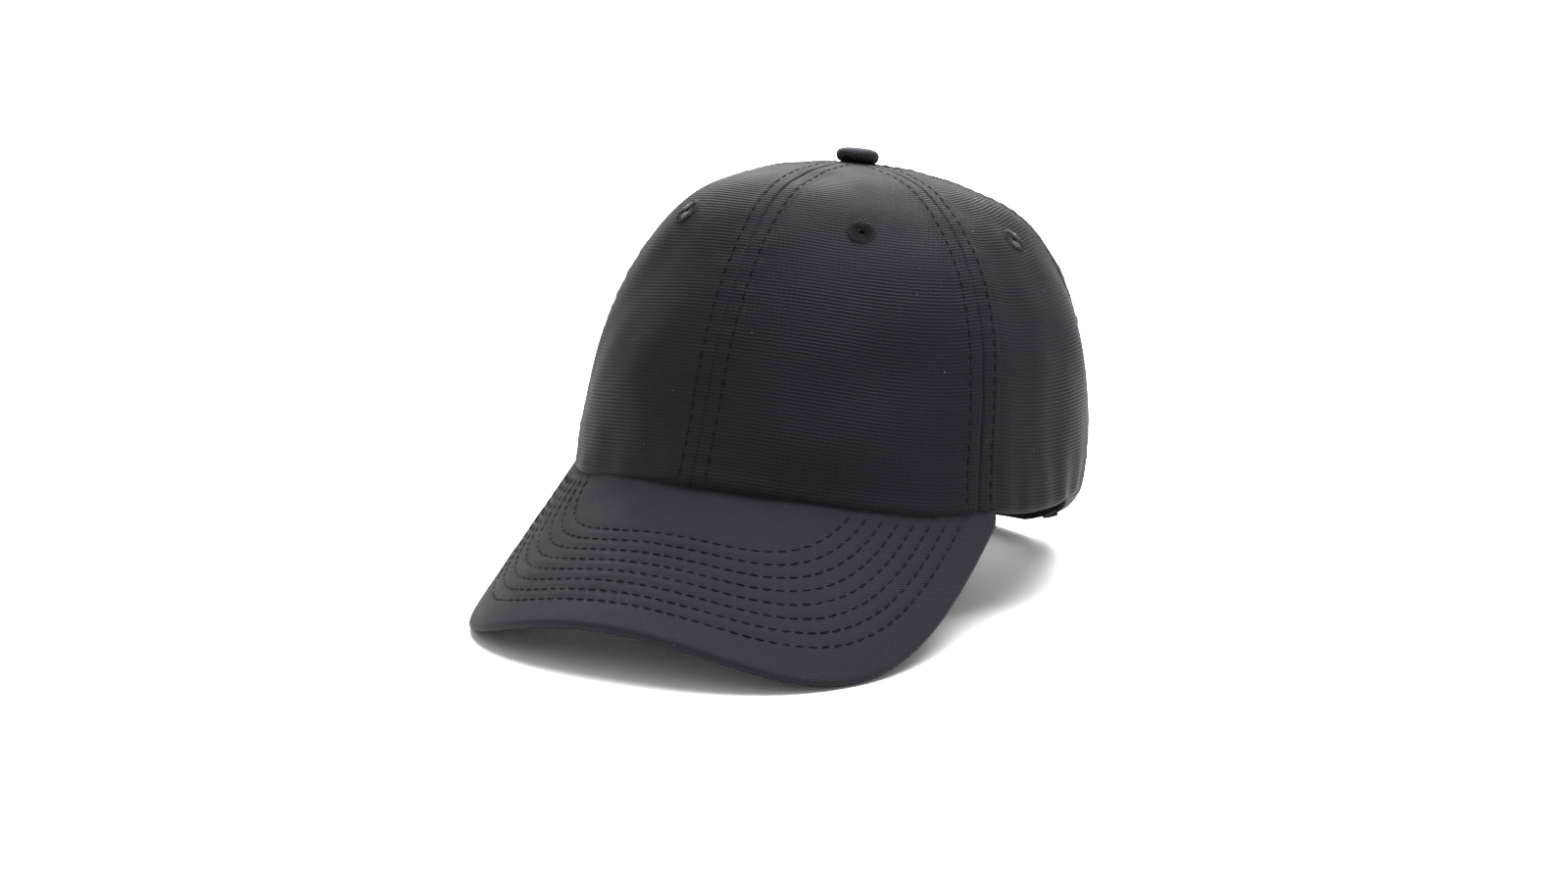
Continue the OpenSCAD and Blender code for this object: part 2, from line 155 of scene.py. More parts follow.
def length(name, description, default):
    return FloatProperty(name=name, description=description, default=default, subtype="DISTANCE",
                         unit="LENGTH", precision=5)


def angle(name, description, degrees):
    return FloatProperty(name=name, description=description, default=math.radians(degrees),
                         subtype="ANGLE", unit="ROTATION")


def plain(name, description, default):
    return FloatProperty(name=name, description=description, default=default)


def colour(name, description, default):
    return FloatVectorProperty(name=name, description=description, default=default, subtype="COLOR",
                               size=3, min=0, max=1)


class CapSizes(bpy.types.PropertyGroup):
    rim_front: length("Front half length", "Head opening's half length towards the peak", 0.0944)
    rim_back: length("Back half length", "Head opening's half length towards the strap", 0.0924)
    rim_side: length("Half width", "Head opening's half width", 0.092)
    front_rise: length("Front rise", "Rise of the opening's edge at the front", 0.010)
    side_rise: length("Side rise", "Rise of the opening's edge at the sides", 0.011)
    hem_lift: length("Hem lift", "How far the opening's edge is drawn up behind each side", 0.008)
    crown_h: length("Crown height", "Height of the crown's top above the back of the opening", 0.125)
    top_y: length("Top place", "Place of the crown's top along Y", -0.0046)
    tip_rise: length("Tip rise", "How far the crown draws up under the button", 0.0025)
    full_front: plain("Front fullness", "Fullness of the front's plan profile", 2.65)
    full_side: plain("Side fullness", "Fullness of the sides' plan profile", 2.35)
    full_back: plain("Back fullness", "Fullness of the back's plan profile", 3.2)
    shoulder_front: plain("Front shoulder", "Fullness of the shoulder at the front", 2.4)
    shoulder_side: plain("Side shoulder", "Fullness of the shoulder at the sides", 2.7)
    shoulder_back: plain("Back shoulder", "Fullness of the shoulder at the back", 3.2)
    wall_draw: plain("Wall draw", "Share by which the wall draws in at half height", 0.03)
    cloth_t: length("Cloth thickness", "Thickness of the crown cloth", 0.0008)
    eyelet_d: length("Eyelet width", "Outer width of an eyelet", 0.010)
    eyelet_hole: length("Eyelet hole", "Hole through an eyelet", 0.0024)
    tape_w: length("Tape width", "Width of the seam tapes", 0.012)
    peak_l: length("Peak length", "Length of the peak at the middle", 0.067)
    peak_half: length("Peak half width", "Half width of the peak along its curve", 0.102)
    peak_bend: length("Peak bend", "Radius that the peak is arched to", 0.113)
    peak_slope: angle("Peak slope", "Slope of the peak's middle", 43.5)
    peak_end: angle("Peak end", "Angle round the opening where the peak ends", 69)
    peak_square: plain("Peak squareness", "Squareness of the peak's outline", 3.7)
    board_t: length("Board thickness", "Thickness of the board inside the peak", 0.002)
    sweat_h: length("Sweatband height", "Height of the sweatband", 0.032)
    arch_half: angle("Arch half angle", "Half angle of the arch opening", 33)
    arch_h: length("Arch height", "Height of the arch opening", 0.058)
    strap_w: length("Strap width", "Width of the strap", 0.020)
    buckle_at: angle("Buckle place", "Angle from the back middle to the buckle", 13)
    lean: angle("Lean", "How far the cap leans back as it stands", 13.75)


class CapSewing(bpy.types.PropertyGroup):
    pitch: length("Stitch pitch", "Distance from one stitch to the next", 0.0044)
    stitch_l: length("Stitch length", "Length of one stitch in sight", 0.0036)
    thread_d: length("Thread width", "Width of the sewing thread", 0.0005)
    seam_row: length("Topstitch place", "Distance of a topstitch row from its seam", 0.0049)
    peak_rows: IntProperty(name="Peak rows", description="Stitch rows on the peak", default=8, min=1)
    row_inset: length("First peak row", "Distance of the first row from the peak's edge", 0.0118)
    row_gap: length("Peak row gap", "Distance between the peak's rows", 0.00474)
    row_dip: length("Row dip", "How deep a row of stitches pulls the cloth down", 0.00022)


class CapLooks(bpy.types.PropertyGroup):
    crown: colour("Crown cloth", "Base colour of the crown cloth", (0.0046, 0.0045, 0.0064))
    peak: colour("Peak cloth", "Base colour of the peak cloth", (0.0088, 0.0085, 0.0116))
    under: colour("Under cloth", "Base colour of the peak's under cloth", (0.0050, 0.0052, 0.0072))
    thread: colour("Thread", "Colour of the sewing and eyelet thread", (0.0022, 0.0022, 0.0028))
    tape: colour("Tape", "Colour of the seam tapes and the binding", (0.009, 0.009, 0.011))
    sweat: colour("Sweatband", "Colour of the sweatband", (0.010, 0.010, 0.012))
    label: colour("Label", "Colour of the care label", (0.62, 0.61, 0.58))
    board: colour("Board", "Colour of the peak's board", (0.012, 0.012, 0.013))
    metal: colour("Buckle metal", "Colour of the buckle's plating", (0.11, 0.11, 0.115))
    floor: colour("Floor", "Colour of the studio floor", (0.92, 0.92, 0.92))
    sky: plain("Surround", "Brightness of the studio's surround", 0.8)
    key: FloatProperty(name="Overhead light", description="Power of the overhead light", default=76,
                       unit="POWER")


def sizes():
    return bpy.context.scene.cap_sizes


def sewing():
    return bpy.context.scene.cap_sewing


def looks():
    return bpy.context.scene.cap_looks


# ---- the crown's surface: angle a is 0 at the front and grows towards the wearer's left, v is the share up

def smooth(x):
    t = np.clip(x, 0, 1)
    return t * t * (3 - 2 * t)


def turned(a):
    return (a + np.pi) % (2 * np.pi) - np.pi


def rim_r(a):
    s = sizes()
    half = np.where(np.cos(a) > 0, s.rim_front, s.rim_back)
    return 1 / np.sqrt((np.cos(a) / half) ** 2 + (np.sin(a) / s.rim_side) ** 2)


def by_angle(a, front, side, back):
    c = np.cos(a)
    w = np.where(c > 0, c ** 2, np.abs(c) ** BACK_BLEND)
    return np.where(c > 0, front, back) * w + side * (1 - w)


def rim_z(a):
    """The opening's edge lies on the peak in front and runs level from the peak's ends."""
    s = sizes()
    b = np.abs(turned(a))
    level = (np.where(np.cos(a) > 0, s.front_rise * np.cos(a) ** 2, 0) + s.side_rise * np.sin(a) ** 2
             + s.hem_lift * bell(b - HEM_LIFT_AT, HEM_LIFT_WIDTH)
             + SIDE_LIFT * bell(b - SIDE_LIFT_AT, SIDE_LIFT_WIDTH))
    on_peak = np.minimum(b, PEAK_MEET)
    lying = peak_place(rim_u(on_peak, 0), rim_w(on_peak, 0), 0)[..., 2]
    f = smooth((b - PEAK_LEAVE) / (PEAK_MEET - PEAK_LEAVE))
    return level * f + lying * (1 - f)


def shoulder(a):
    s = sizes()
    return by_angle(a, s.shoulder_front, s.shoulder_side, s.shoulder_back)


def fullness(a):
    s = sizes()
    return by_angle(a, s.full_front, s.full_side, s.full_back)


def lift_share(a, v):
    return np.sin(np.pi / 2 * v) ** (2 / shoulder(a))


def plan_share(a, v):
    z = lift_share(a, v)
    return np.cos(np.pi / 2 * v) ** (2 / fullness(a)) * (1 - 4 * sizes().wall_draw * z * (1 - z))


def crown_point(a, v):
    s = sizes()
    a, v = np.broadcast_arrays(np.asarray(a, float), np.asarray(v, float))
    plan = plan_share(a, v)
    r = rim_r(a)
    z0 = rim_z(a)
    return np.stack([
        r * np.sin(a) * plan,
        s.top_y + (-r * np.cos(a) - s.top_y) * plan,
        z0 + (s.crown_h - z0) * lift_share(a, v) + s.tip_rise * (1 - plan) ** TIP_SHARP], -1)


def unit(p):
    return p / np.linalg.norm(p, axis=-1, keepdims=True)


def crown_normal(a, v):
    half_degree = math.radians(0.5)
    round_step = crown_point(a + half_degree, v) - crown_point(a - half_degree, v)
    up_step = (crown_point(a, np.minimum(v + SHARE_STEP, 1))
               - crown_point(a, np.maximum(v - SHARE_STEP, 0)))
    return unit(np.cross(round_step, up_step))


def crown_at(a, v, out, firm=False):
    """A point of a layer at that distance out; firm layers don't follow the soft shape."""
    a, v, out = np.broadcast_arrays(np.asarray(a, float), np.asarray(v, float), np.asarray(out, float))
    if not firm:
        out = out + soft_shape(a, v)
    return crown_point(a, v) + out[..., None] * crown_normal(a, v)


def share_at(a, h):
    rise = np.clip(h / (sizes().crown_h - rim_z(a)), 0, 1)
    return np.arcsin(rise ** (shoulder(a) / 2)) * 2 / np.pi


def share_at_radius(a, r):
    return np.arccos((r / rim_r(a)) ** (fullness(a) / 2)) * 2 / np.pi


# ---- the peak's surface: u across, w forward, h over the surface that the opening's edge lies on

def peak_place(u, w, h):
    s = sizes()
    g = u / s.peak_bend
    drop = s.peak_bend - (s.peak_bend + h) * np.cos(g)
    return np.stack([
        (s.peak_bend + h) * np.sin(g),
        -s.rim_front - w * math.cos(s.peak_slope) + drop * math.sin(s.peak_slope),
        s.front_rise - w * math.sin(s.peak_slope) - drop * math.cos(s.peak_slope)], -1)


def rim_u(a, out):
    s = sizes()
    return s.peak_bend * np.arcsin((rim_r(a) + out) * np.sin(a) / s.peak_bend)


def rim_w(a, out):
    s = sizes()
    drop = s.peak_bend * (1 - np.cos(rim_u(a, out) / s.peak_bend))
    ahead = -s.rim_front + drop * math.sin(s.peak_slope) + (rim_r(a) + out) * np.cos(a)
    return ahead / math.cos(s.peak_slope)


def peak_ends():
    s = sizes()
    return float(rim_u(s.peak_end, 0)), float(rim_w(s.peak_end, 0))


def edge_half(w):
    s = sizes()
    end_u, end_w = peak_ends()
    t = np.clip((w - end_w) / (s.peak_l - end_w), 0, 1)
    return end_u * (1 - t) ** 2 + s.peak_half * (1 - (1 - t) ** 2) + ROOT_WIDER * (1 - t ** 2)


def edge_line(t, inset):
    """Points u, w of the line at that inset from the peak's outline, t from pi on the right to 0."""
    s = sizes()
    end_w = peak_ends()[1]
    power = 2 / s.peak_square
    w = end_w + np.abs(np.sin(t)) ** power * (s.peak_l - end_w - inset)
    u = -np.sign(np.cos(t)) * np.abs(np.cos(t)) ** power * (edge_half(w) - inset)
    return u, w


def inset_at(u, w):
    """How far a point of the peak is from the outline, found by halving."""
    s = sizes()
    end_w = peak_ends()[1]
    low = np.zeros_like(u)
    high = np.full_like(u, 0.9 * s.peak_l)
    for _ in range(HALVINGS):
        mid = (low + high) / 2
        across = np.abs(u) / np.maximum(edge_half(w) - mid, TINY)
        ahead = np.maximum(w - end_w, 0) / np.maximum(s.peak_l - end_w - mid, TINY)
        outside = across ** s.peak_square + ahead ** s.peak_square > 1
        high = np.where(outside, mid, high)
        low = np.where(outside, low, mid)
    return (low + high) / 2


def cover_h():
    return sizes().board_t / 2 + LAYER_GAP / 2


def peak_sink():
    return cover_h() + sizes().cloth_t + PEAK_GAPS * LAYER_GAP


# ---- stance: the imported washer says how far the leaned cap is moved

def stand(points):
    s = sizes()
    low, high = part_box("button_washer")
    c, n = math.cos(s.lean), math.sin(s.lean)
    washer_z = s.crown_h - WASHER_DROP
    move_y = (low.y + high.y) / 2 - (s.top_y * c + washer_z * n)
    move_z = (low.z + high.z) / 2 - (-s.top_y * n + washer_z * c)
    p = np.asarray(points, float)
    return np.stack([p[..., 0], p[..., 1] * c + p[..., 2] * n + move_y,
                     -p[..., 1] * n + p[..., 2] * c + move_z], -1)


# ---- soft shape and relief of the sewn crown, along the surface's normal

def waves(seed, count, shortest, longest, lean_up=1.0):
    """Plane waves of seeded direction, length and phase."""
    rng = random.Random(seed)
    made = []
    for _ in range(count):
        k = np.array([rng.gauss(0, 1), rng.gauss(0, 1), rng.gauss(0, 1) * lean_up])
        k = k / np.linalg.norm(k) * 2 * math.pi / rng.uniform(shortest, longest)
        made.append((k, rng.uniform(0, 2 * math.pi)))
    return made


def wave_sum(points, made):
    return sum(np.sin(points @ k + phase) for k, phase in made) / math.sqrt(len(made))


DENTS = waves(11, 7, 34 * MM, 74 * MM)
CREASES = waves(5, 5, 14 * MM, 26 * MM, 0.4)


def seam_distance(a, radius):
    b = np.abs(turned(a))
    return np.min([np.abs(b - math.radians(seam)) for seam in SEAMS], axis=0) * radius


def bell(x, width):
    return np.exp(-(x / width) ** 2)


def middle_r(p):
    """Distance of points from the crown's middle line."""
    return np.hypot(p[..., 0], p[..., 1] - sizes().top_y)


def crown_place(a, v):
    """Point, distance from the middle line, height over the opening's edge, seam distance and angle."""
    p = crown_point(a, v)
    radius = middle_r(p)
    a = np.broadcast_to(a, radius.shape)
    return p, radius, p[..., 2] - rim_z(a), seam_distance(a, radius), turned(a)


def soft_shape(a, v):
    """The slack and the soft dents that every layer of the crown shares."""
    p, radius, high, d, b = crown_place(a, v)
    fade = smooth((radius - CALM_R) / CALM_REACH)
    belly = BELLY * smooth(d / BELLY_REACH) * smooth(high / BELLY_HEIGHT) * fade
    dents = DENT_DEPTH * wave_sum(p, DENTS) * fade
    slack = 0
    for amount, ends, place, spread, measure, level, reach in SLACK:
        turn = np.abs(b) if ends == "both" else b
        value = radius if measure == "radius" else high
        slack = slack + amount * bell(turn - math.radians(place), math.radians(spread)) \
            * bell(value - level * MM, reach * MM)
    round_in = np.sqrt(1 - np.clip(1 - high / HEM_ROUND_H, 0, 1) ** 2)
    slack = slack - HEM_DRAWN_IN * bell(np.abs(b) - HEM_DRAWN_AT, HEM_DRAWN_WIDTH) * (1 - round_in)
    return (belly + dents + slack) * MM


def crown_relief(a, v):
    """What the sewing does to the outer cloth, on top of the soft shape."""
    w = sewing()
    p, radius, high, d, b = crown_place(a, v)
    fade = smooth((radius - CALM_R) / CALM_REACH)
    seam = (-SEAM_DEPTH * bell(d, SEAM_WIDTH) + SEAM_STAND * (1 - smooth((d - ALLOWANCE) / ALLOWANCE_EDGE))
            - ROW_DEPTH * bell(d - w.seam_row, ROW_WIDTH)) * MM
    along = p[..., 2] + 0.6 * radius
    pucker = PUCKER * np.sin(2 * np.pi * along / PUCKER_PITCH + 3 * b) * bell(d - w.seam_row, PUCKER_REACH)
    creases = CREASE_DEPTH * wave_sum(p, CREASES) * fade
    low_edge = bell(high, FOLD_HEIGHT)
    left_back = bell(b - FOLD_AT, FOLD_SPREAD)
    across = radius * b
    folds = MM * (FOLD_LEFT * left_back + FOLD_ALL) * low_edge * smooth(high / (3 * MM)) \
        * np.sin(2 * np.pi * (across + FOLD_SLANT * high) / FOLD_PITCH
                 + FOLD_SWAY * np.sin(across / FOLD_DRIFT))
    roll = -ROLL_R * (1 - np.sqrt(1 - np.clip((ROLL_R - high) / ROLL_R, 0, 1) ** 2))
    hem = HEM_BEAD * bell(high - HEM_BEAD_H, HEM_BEAD_WIDTH)
    eyelet = 0
    for _, a0, a1 in PANELS:
        for _, side in SIDES:
            mid = crown_point(side * math.radians((a0 + a1) / 2), EYELET_SHARE)
            r = np.linalg.norm(p - mid, axis=-1)
            eyelet = eyelet - EYELET_DIMPLE * bell(r, EYELET_DIMPLE_R)
    sewn = (seam + pucker) * smooth((radius - SEAM_FADE_R) / SEAM_FADE_REACH)
    return sewn + creases + folds + roll + hem + eyelet


# ---- making meshes

def new_piece(name, points, faces, material, uv=None):
    mesh = bpy.data.meshes.new(name)
    mesh.from_pydata(np.asarray(points, float).reshape(-1, 3).tolist(), [], [list(f) for f in faces])
    if uv is not None:
        corners = np.zeros(len(mesh.loops), np.int32)
        mesh.loops.foreach_get("vertex_index", corners)
        layer = mesh.uv_layers.new(name=UV_NAME)
        layer.data.foreach_set("uv", np.asarray(uv, np.float32).reshape(-1, 2)[corners].ravel())
    mesh.polygons.foreach_set("use_smooth", np.ones(len(mesh.polygons), bool))
    mesh.materials.append(material)
    mesh.update()
    obj = bpy.data.objects.new(name, mesh)
    bpy.context.scene.collection.objects.link(obj)
    return obj


def pick(obj):
    bpy.ops.object.select_all(action="DESELECT")
    obj.select_set(True)
    bpy.context.view_layer.objects.active = obj


@contextmanager
def editing(mesh):
    bm = bmesh.new()
    bm.from_mesh(mesh)
    yield bm
    bm.to_mesh(mesh)
    bm.free()


def thicken(obj, thickness):
    """Gives a sheet its thickness on the side away from its faces."""
    pick(obj)
    solid = obj.modifiers.new("thickness", "SOLIDIFY")
    solid.thickness = thickness
    solid.offset = -1
    bpy.ops.object.modifier_apply(modifier=solid.name)


def grid_faces(ni, nj, keep=None, wrap=False):
    faces = []
    for i in range(ni if wrap else ni - 1):
        after = (i + 1) % ni
        for j in range(nj - 1):
            if keep is None or keep[i, j]:
                faces.append((i * nj + j, after * nj + j, after * nj + j + 1, i * nj + j + 1))
    return faces


SHARP_CLOTH = math.radians(50)


def cloth(name, points, uv, thickness, material, keep=None):
    """A sheet of cloth over a grid of points."""
    ni, nj = points.shape[:2]
    obj = new_piece(name, stand(points), grid_faces(ni, nj, keep), material, uv)
    with editing(obj.data) as bm:
        bmesh.ops.delete(bm, geom=[x for x in bm.verts if not x.link_faces], context="VERTS")
    thicken(obj, thickness)
    bpy.ops.object.shade_smooth_by_angle(angle=SHARP_CLOTH)
    return obj


def wear(obj, slot, *nodes, body="cap"):
    """Says which body carries the piece and which nodes it replaces; the slot argument is not used."""
    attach(obj, body)
    if nodes:
        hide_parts(*nodes)


def sewn_sheet(obj, slot, nodes):
    """Puts the sheet on the cap's body and hides the nodes it replaces."""
    wear(obj, slot, *nodes)


def run_along(points):
    """Length along a row of points up to each of them."""
    return np.concatenate([[0], np.cumsum(np.linalg.norm(np.diff(points, axis=0), axis=1))])


def arc_points(path, normals, pitch):
    """Even places along a path, with the direction of the path and the surface's normal there."""
    run = run_along(path)
    count = max(1, int(run[-1] / pitch))
    at = (np.arange(count) + 0.5) * run[-1] / count

    def between(where, values):
        return np.stack([np.interp(where, run, values[:, k]) for k in range(3)], 1)

    step = between(at + pitch / 4, path) - between(at - pitch / 4, path)
    return between(at, path), unit(step), unit(between(at, normals))


STITCH_SIDES = 6
STITCH_RINGS = ((-0.34, 0.85, 0.30), (0.0, 1.0, 0.55), (0.34, 0.85, 0.30))  # place, fatness, lift


def stitches(name, runs, seed):
    """Rows of single stitches, each a short plump thread that dips into the cloth at both ends."""
    w = sewing()
    long, thick, sides = w.stitch_l, w.thread_d, STITCH_SIDES
    rng = np.random.default_rng(seed)
    points, faces, base = [], [], 0
    for path, normals in runs:
        place, ahead, normal = arc_points(np.asarray(path), np.asarray(normals), w.pitch)
        aside = unit(np.cross(normal, ahead))
        for p, t, n, b in zip(place, ahead, normal, aside):
            yaw = rng.normal(0, 0.05)
            t = t * math.cos(yaw) + b * math.sin(yaw)
            b = np.cross(n, t)
            points.append(p - t * long * 0.5 - n * thick * 0.5)
            for x, fat, lift in STITCH_RINGS:
                for k in range(sides):
                    g = 2 * math.pi * k / sides
                    points.append(p + t * long * x + n * thick * (lift + 0.5 * fat * math.sin(g) - 0.2)
                                  + b * thick * 0.5 * fat * math.cos(g))
            points.append(p + t * long * 0.5 - n * thick * 0.5)
            last = base + 1 + len(STITCH_RINGS) * sides
            for k in range(sides):
                m = (k + 1) % sides
                faces.append((base, base + 1 + m, base + 1 + k))
                for ring in range(len(STITCH_RINGS) - 1):
                    r0, r1 = base + 1 + ring * sides, base + 1 + (ring + 1) * sides
                    faces.append((r0 + k, r0 + m, r1 + m, r1 + k))
                faces.append((last, last - sides + k, last - sides + m))
            base = last + 1
    wear(new_piece(name, stand(points), faces, thread_material()), "eyelet_thread")


def swept(name, rings, material, uv, closed=False):
    """A closed skin over a row of rings of points; rings run round, stations run along."""
    n, m = rings.shape[:2]
    faces = [(i * m + j, i * m + (j + 1) % m, ((i + 1) % n) * m + (j + 1) % m, ((i + 1) % n) * m + j)
             for i in range(n if closed else n - 1) for j in range(m)]
    if not closed:
        faces += [tuple(range(m - 1, -1, -1)), tuple((n - 1) * m + j for j in range(m))]
    obj = new_piece(name, stand(rings), faces, material, uv)
    with editing(obj.data) as bm:
        bmesh.ops.recalc_face_normals(bm, faces=bm.faces)
    pick(obj)
    bpy.ops.object.shade_smooth_by_angle(angle=SHARP_CLOTH)
    return obj


# ---- shader building

class Graph:
    """A short way to add and join shader nodes."""

    def __init__(self, tree):
        self.tree = tree

    def add(self, kind, settings=None, **inputs):
        node = self.tree.nodes.new(kind)
        for key, value in (settings or {}).items():
            setattr(node, key, value)
        self.give(node, **inputs)
        return node

    def give(self, node, **inputs):
        for key, value in inputs.items():
            self.feed(node.inputs[key.replace("_", " ")], value)

    def relief(self, shader, height, strength, depth):
        """Bumps on a shader's surface, their depth in millimetres."""
        bump = self.add("ShaderNodeBump", Height=height, Strength=strength, Distance=depth * MM)
        self.give(shader, Normal=bump.outputs[0])

    def feed(self, socket, value):
        if isinstance(value, bpy.types.NodeSocket):
            self.tree.links.new(value, socket)
        else:
            socket.default_value = value

    def math(self, operation, *values):
        node = self.tree.nodes.new("ShaderNodeMath")
        node.operation = operation
        for socket, value in zip(node.inputs, values):
            self.feed(socket, value)
        return node.outputs[0]

    def ranged(self, value, low, high, to_low=0.0, to_high=1.0):
        node = self.add("ShaderNodeMapRange")
        for socket, given in zip(node.inputs, (value, low, high, to_low, to_high)):
            self.feed(socket, given)
        return node.outputs[0]

    def mix(self, factor, first, second):
        node = self.add("ShaderNodeMix", {"data_type": "RGBA"})
        self.feed(node.inputs[0], factor)
        self.feed(node.inputs[6], first)
        self.feed(node.inputs[7], second)
        return node.outputs[2]


def new_group(name, numbers, outputs):
    """A node group that takes a place and some numbers and gives numbers."""
    tree = bpy.data.node_groups.new(name, "ShaderNodeTree")
    tree.interface.new_socket(name="Place", in_out="INPUT", socket_type="NodeSocketVector")
    for label, default in numbers.items():
        socket = tree.interface.new_socket(name=label, in_out="INPUT", socket_type="NodeSocketFloat")
        socket.default_value = default
    for label in outputs:
        tree.interface.new_socket(name=label, in_out="OUTPUT", socket_type="NodeSocketFloat")
    graph = Graph(tree)
    return graph, tree.nodes.new("NodeGroupInput").outputs, tree.nodes.new("NodeGroupOutput").inputs


def group_weave():
    """Ribs across the cloth crossed by finer upright threads; the pattern's lengths are in millimetres."""
    if "Weave" in bpy.data.node_groups:
        return bpy.data.node_groups["Weave"]
    numbers = {"Rib pitch": 1.2, "Thread pitch": 1.6, "Slant": 0.0, "Thread share": 0.35}
    g, given, out = new_group("Weave", numbers, ("Height", "Shade"))
    scaled = g.add("ShaderNodeVectorMath", {"operation": "SCALE"})
    g.feed(scaled.inputs[0], given["Place"])
    scaled.inputs["Scale"].default_value = 1000
    split = g.add("ShaderNodeSeparateXYZ", Vector=scaled.outputs[0])
    drift = g.add("ShaderNodeTexNoise", Vector=scaled.outputs[0], Scale=0.35, Detail=1.0)
    uneven = g.math("MULTIPLY", g.math("SUBTRACT", drift.outputs[0], 0.5), 0.5)
    up = g.math("ADD", g.math("ADD", split.outputs[1], uneven),
                g.math("MULTIPLY", split.outputs[0], given["Slant"]))
    rib = g.math("SINE", g.math("MULTIPLY", g.math("DIVIDE", up, given["Rib pitch"]), 2 * math.pi))
    thread = g.math("SINE", g.math("MULTIPLY", g.math("DIVIDE", split.outputs[0], given["Thread pitch"]),
                                   2 * math.pi))
    fuzz = g.add("ShaderNodeTexNoise", Vector=scaled.outputs[0], Scale=3.2, Detail=2.0)
    rib_high = g.math("MULTIPLY_ADD", rib, 0.5, 0.5)
    thread_high = g.math("MULTIPLY", g.math("MULTIPLY_ADD", thread, 0.5, 0.5), given["Thread share"])
    height = g.math("ADD", g.math("ADD", rib_high, thread_high), g.math("MULTIPLY", fuzz.outputs[0], 0.35))
    g.feed(out["Height"], height)
    g.feed(out["Shade"], g.ranged(height, 0.15, 1.5))
    return g.tree


def group_use():
    """Signs of use: soft tone patches and fine lint specks."""
    if "Use" in bpy.data.node_groups:
        return bpy.data.node_groups["Use"]
    g, given, out = new_group("Use", {"Speck share": 0.5}, ("Patches", "Specks"))
    patches = g.add("ShaderNodeTexNoise", Vector=given["Place"], Scale=26.0, Detail=4.0)
    cells = g.add("ShaderNodeTexVoronoi", Vector=given["Place"], Scale=420.0)
    gate = g.add("ShaderNodeSeparateColor", Color=cells.outputs["Color"])
    dot = g.ranged(cells.outputs["Distance"], 0.06, 0.11, 1.0, 0.0)
    some = g.math("GREATER_THAN", g.math("MULTIPLY", given["Speck share"], 0.07), gate.outputs[0])
    g.feed(out["Patches"], patches.outputs[0])
    g.feed(out["Specks"], g.math("MULTIPLY", dot, some))
    return g.tree


def group_brushed():
    """Fine lines drawn along a metal part, with soft handling marks."""
    if "Brushed" in bpy.data.node_groups:
        return bpy.data.node_groups["Brushed"]
    g, given, out = new_group("Brushed", {}, ("Lines", "Marks"))
    drawn = g.add("ShaderNodeMapping", Vector=given["Place"])
    drawn.inputs["Scale"].default_value = (900, 5200, 5200)
    lines = g.add("ShaderNodeTexNoise", Vector=drawn.outputs[0], Scale=1.0, Detail=3.0)
    marks = g.add("ShaderNodeTexNoise", Vector=given["Place"], Scale=160.0, Detail=3.0)
    g.feed(out["Lines"], lines.outputs[0])
    g.feed(out["Marks"], marks.outputs[0])
    return g.tree


def new_material(name):
    material = bpy.data.materials.new(name)
    material.use_nodes = True
    g = Graph(material.node_tree)
    return material, g, material.node_tree.nodes["Principled BSDF"]


def dark(rgb, share):
    return (rgb[0] * share, rgb[1] * share, rgb[2] * share, 1)


def cloth_material(name, rgb, rib, thread, slant=0.0, thread_share=0.35, bump=0.16, roughness=0.62,
                   sheen=0.02, specular=0.065, specks=0.5, contrast=0.45):
    if name in bpy.data.materials:
        return bpy.data.materials[name]
    material, g, shader = new_material(name)
    uv = g.add("ShaderNodeUVMap", {"uv_map": UV_NAME})
    place = g.add("ShaderNodeTexCoord")
    weave = g.add("ShaderNodeGroup", {"node_tree": group_weave()}, Place=uv.outputs[0], Rib_pitch=rib,
                  Thread_pitch=thread, Slant=slant, Thread_share=thread_share)
    use = g.add("ShaderNodeGroup", {"node_tree": group_use()}, Place=place.outputs["Object"],
                Speck_share=specks)
    body = g.mix(weave.outputs["Shade"], dark(rgb, 1 - contrast), dark(rgb, 1 + contrast))
    toned = g.mix(g.ranged(use.outputs["Patches"], 0.3, 0.7, 0.0, 0.35), body, dark(rgb, 1.5))
    dusty = g.mix(g.math("MULTIPLY", use.outputs["Specks"], 0.6), toned, (0.16, 0.15, 0.15, 1))
    uneven = g.ranged(use.outputs["Patches"], 0.3, 0.7, roughness - 0.06, roughness + 0.06)
    g.give(shader, Base_Color=dusty, Roughness=uneven, Specular_IOR_Level=specular, Sheen_Weight=sheen,
           Sheen_Roughness=0.45, Sheen_Tint=(0.80, 0.83, 0.96, 1), Specular_Tint=(0.86, 0.87, 1.0, 1))
    g.relief(shader, weave.outputs["Height"], 1.0, bump)
    return material


def crown_cloth():
    return cloth_material("Ribbed crown cloth", looks().crown, 1.25, 1.7, thread_share=0.3, bump=0.15)


def button_cloth_painted_light():
    # Painted light: the crown cloth's colour made twice as bright, standing in for the overhead light
    # falling on the button
    rgb = [2.0 * part for part in looks().crown]
    return cloth_material("Button cloth", rgb, 1.0, 1.3, thread_share=0.4, bump=0.10, specular=0.1)


def peak_cloth():
    return cloth_material("Twill peak cloth", looks().peak, 0.8, 1.0, slant=0.9, bump=0.15,
                          contrast=0.55, roughness=0.6, specular=0.085)


def under_cloth():
    return cloth_material("Twill under cloth", looks().under, 0.62, 0.9, slant=0.9, bump=0.10,
                          contrast=0.3)


def tape_cloth():
    return cloth_material("Tape", looks().tape, 0.8, 1.1, slant=1.0, bump=0.12, specks=0.2)


def sweat_cloth():
    return cloth_material("Brushed sweatband cloth", looks().sweat, 0.9, 0.9, thread_share=0.9, bump=0.10,
                          roughness=0.8, sheen=0.06)


def label_cloth():
    return cloth_material("Label satin", looks().label, 0.35, 0.5, bump=0.04, contrast=0.06, roughness=0.45,
                          specular=0.5, specks=0.1)


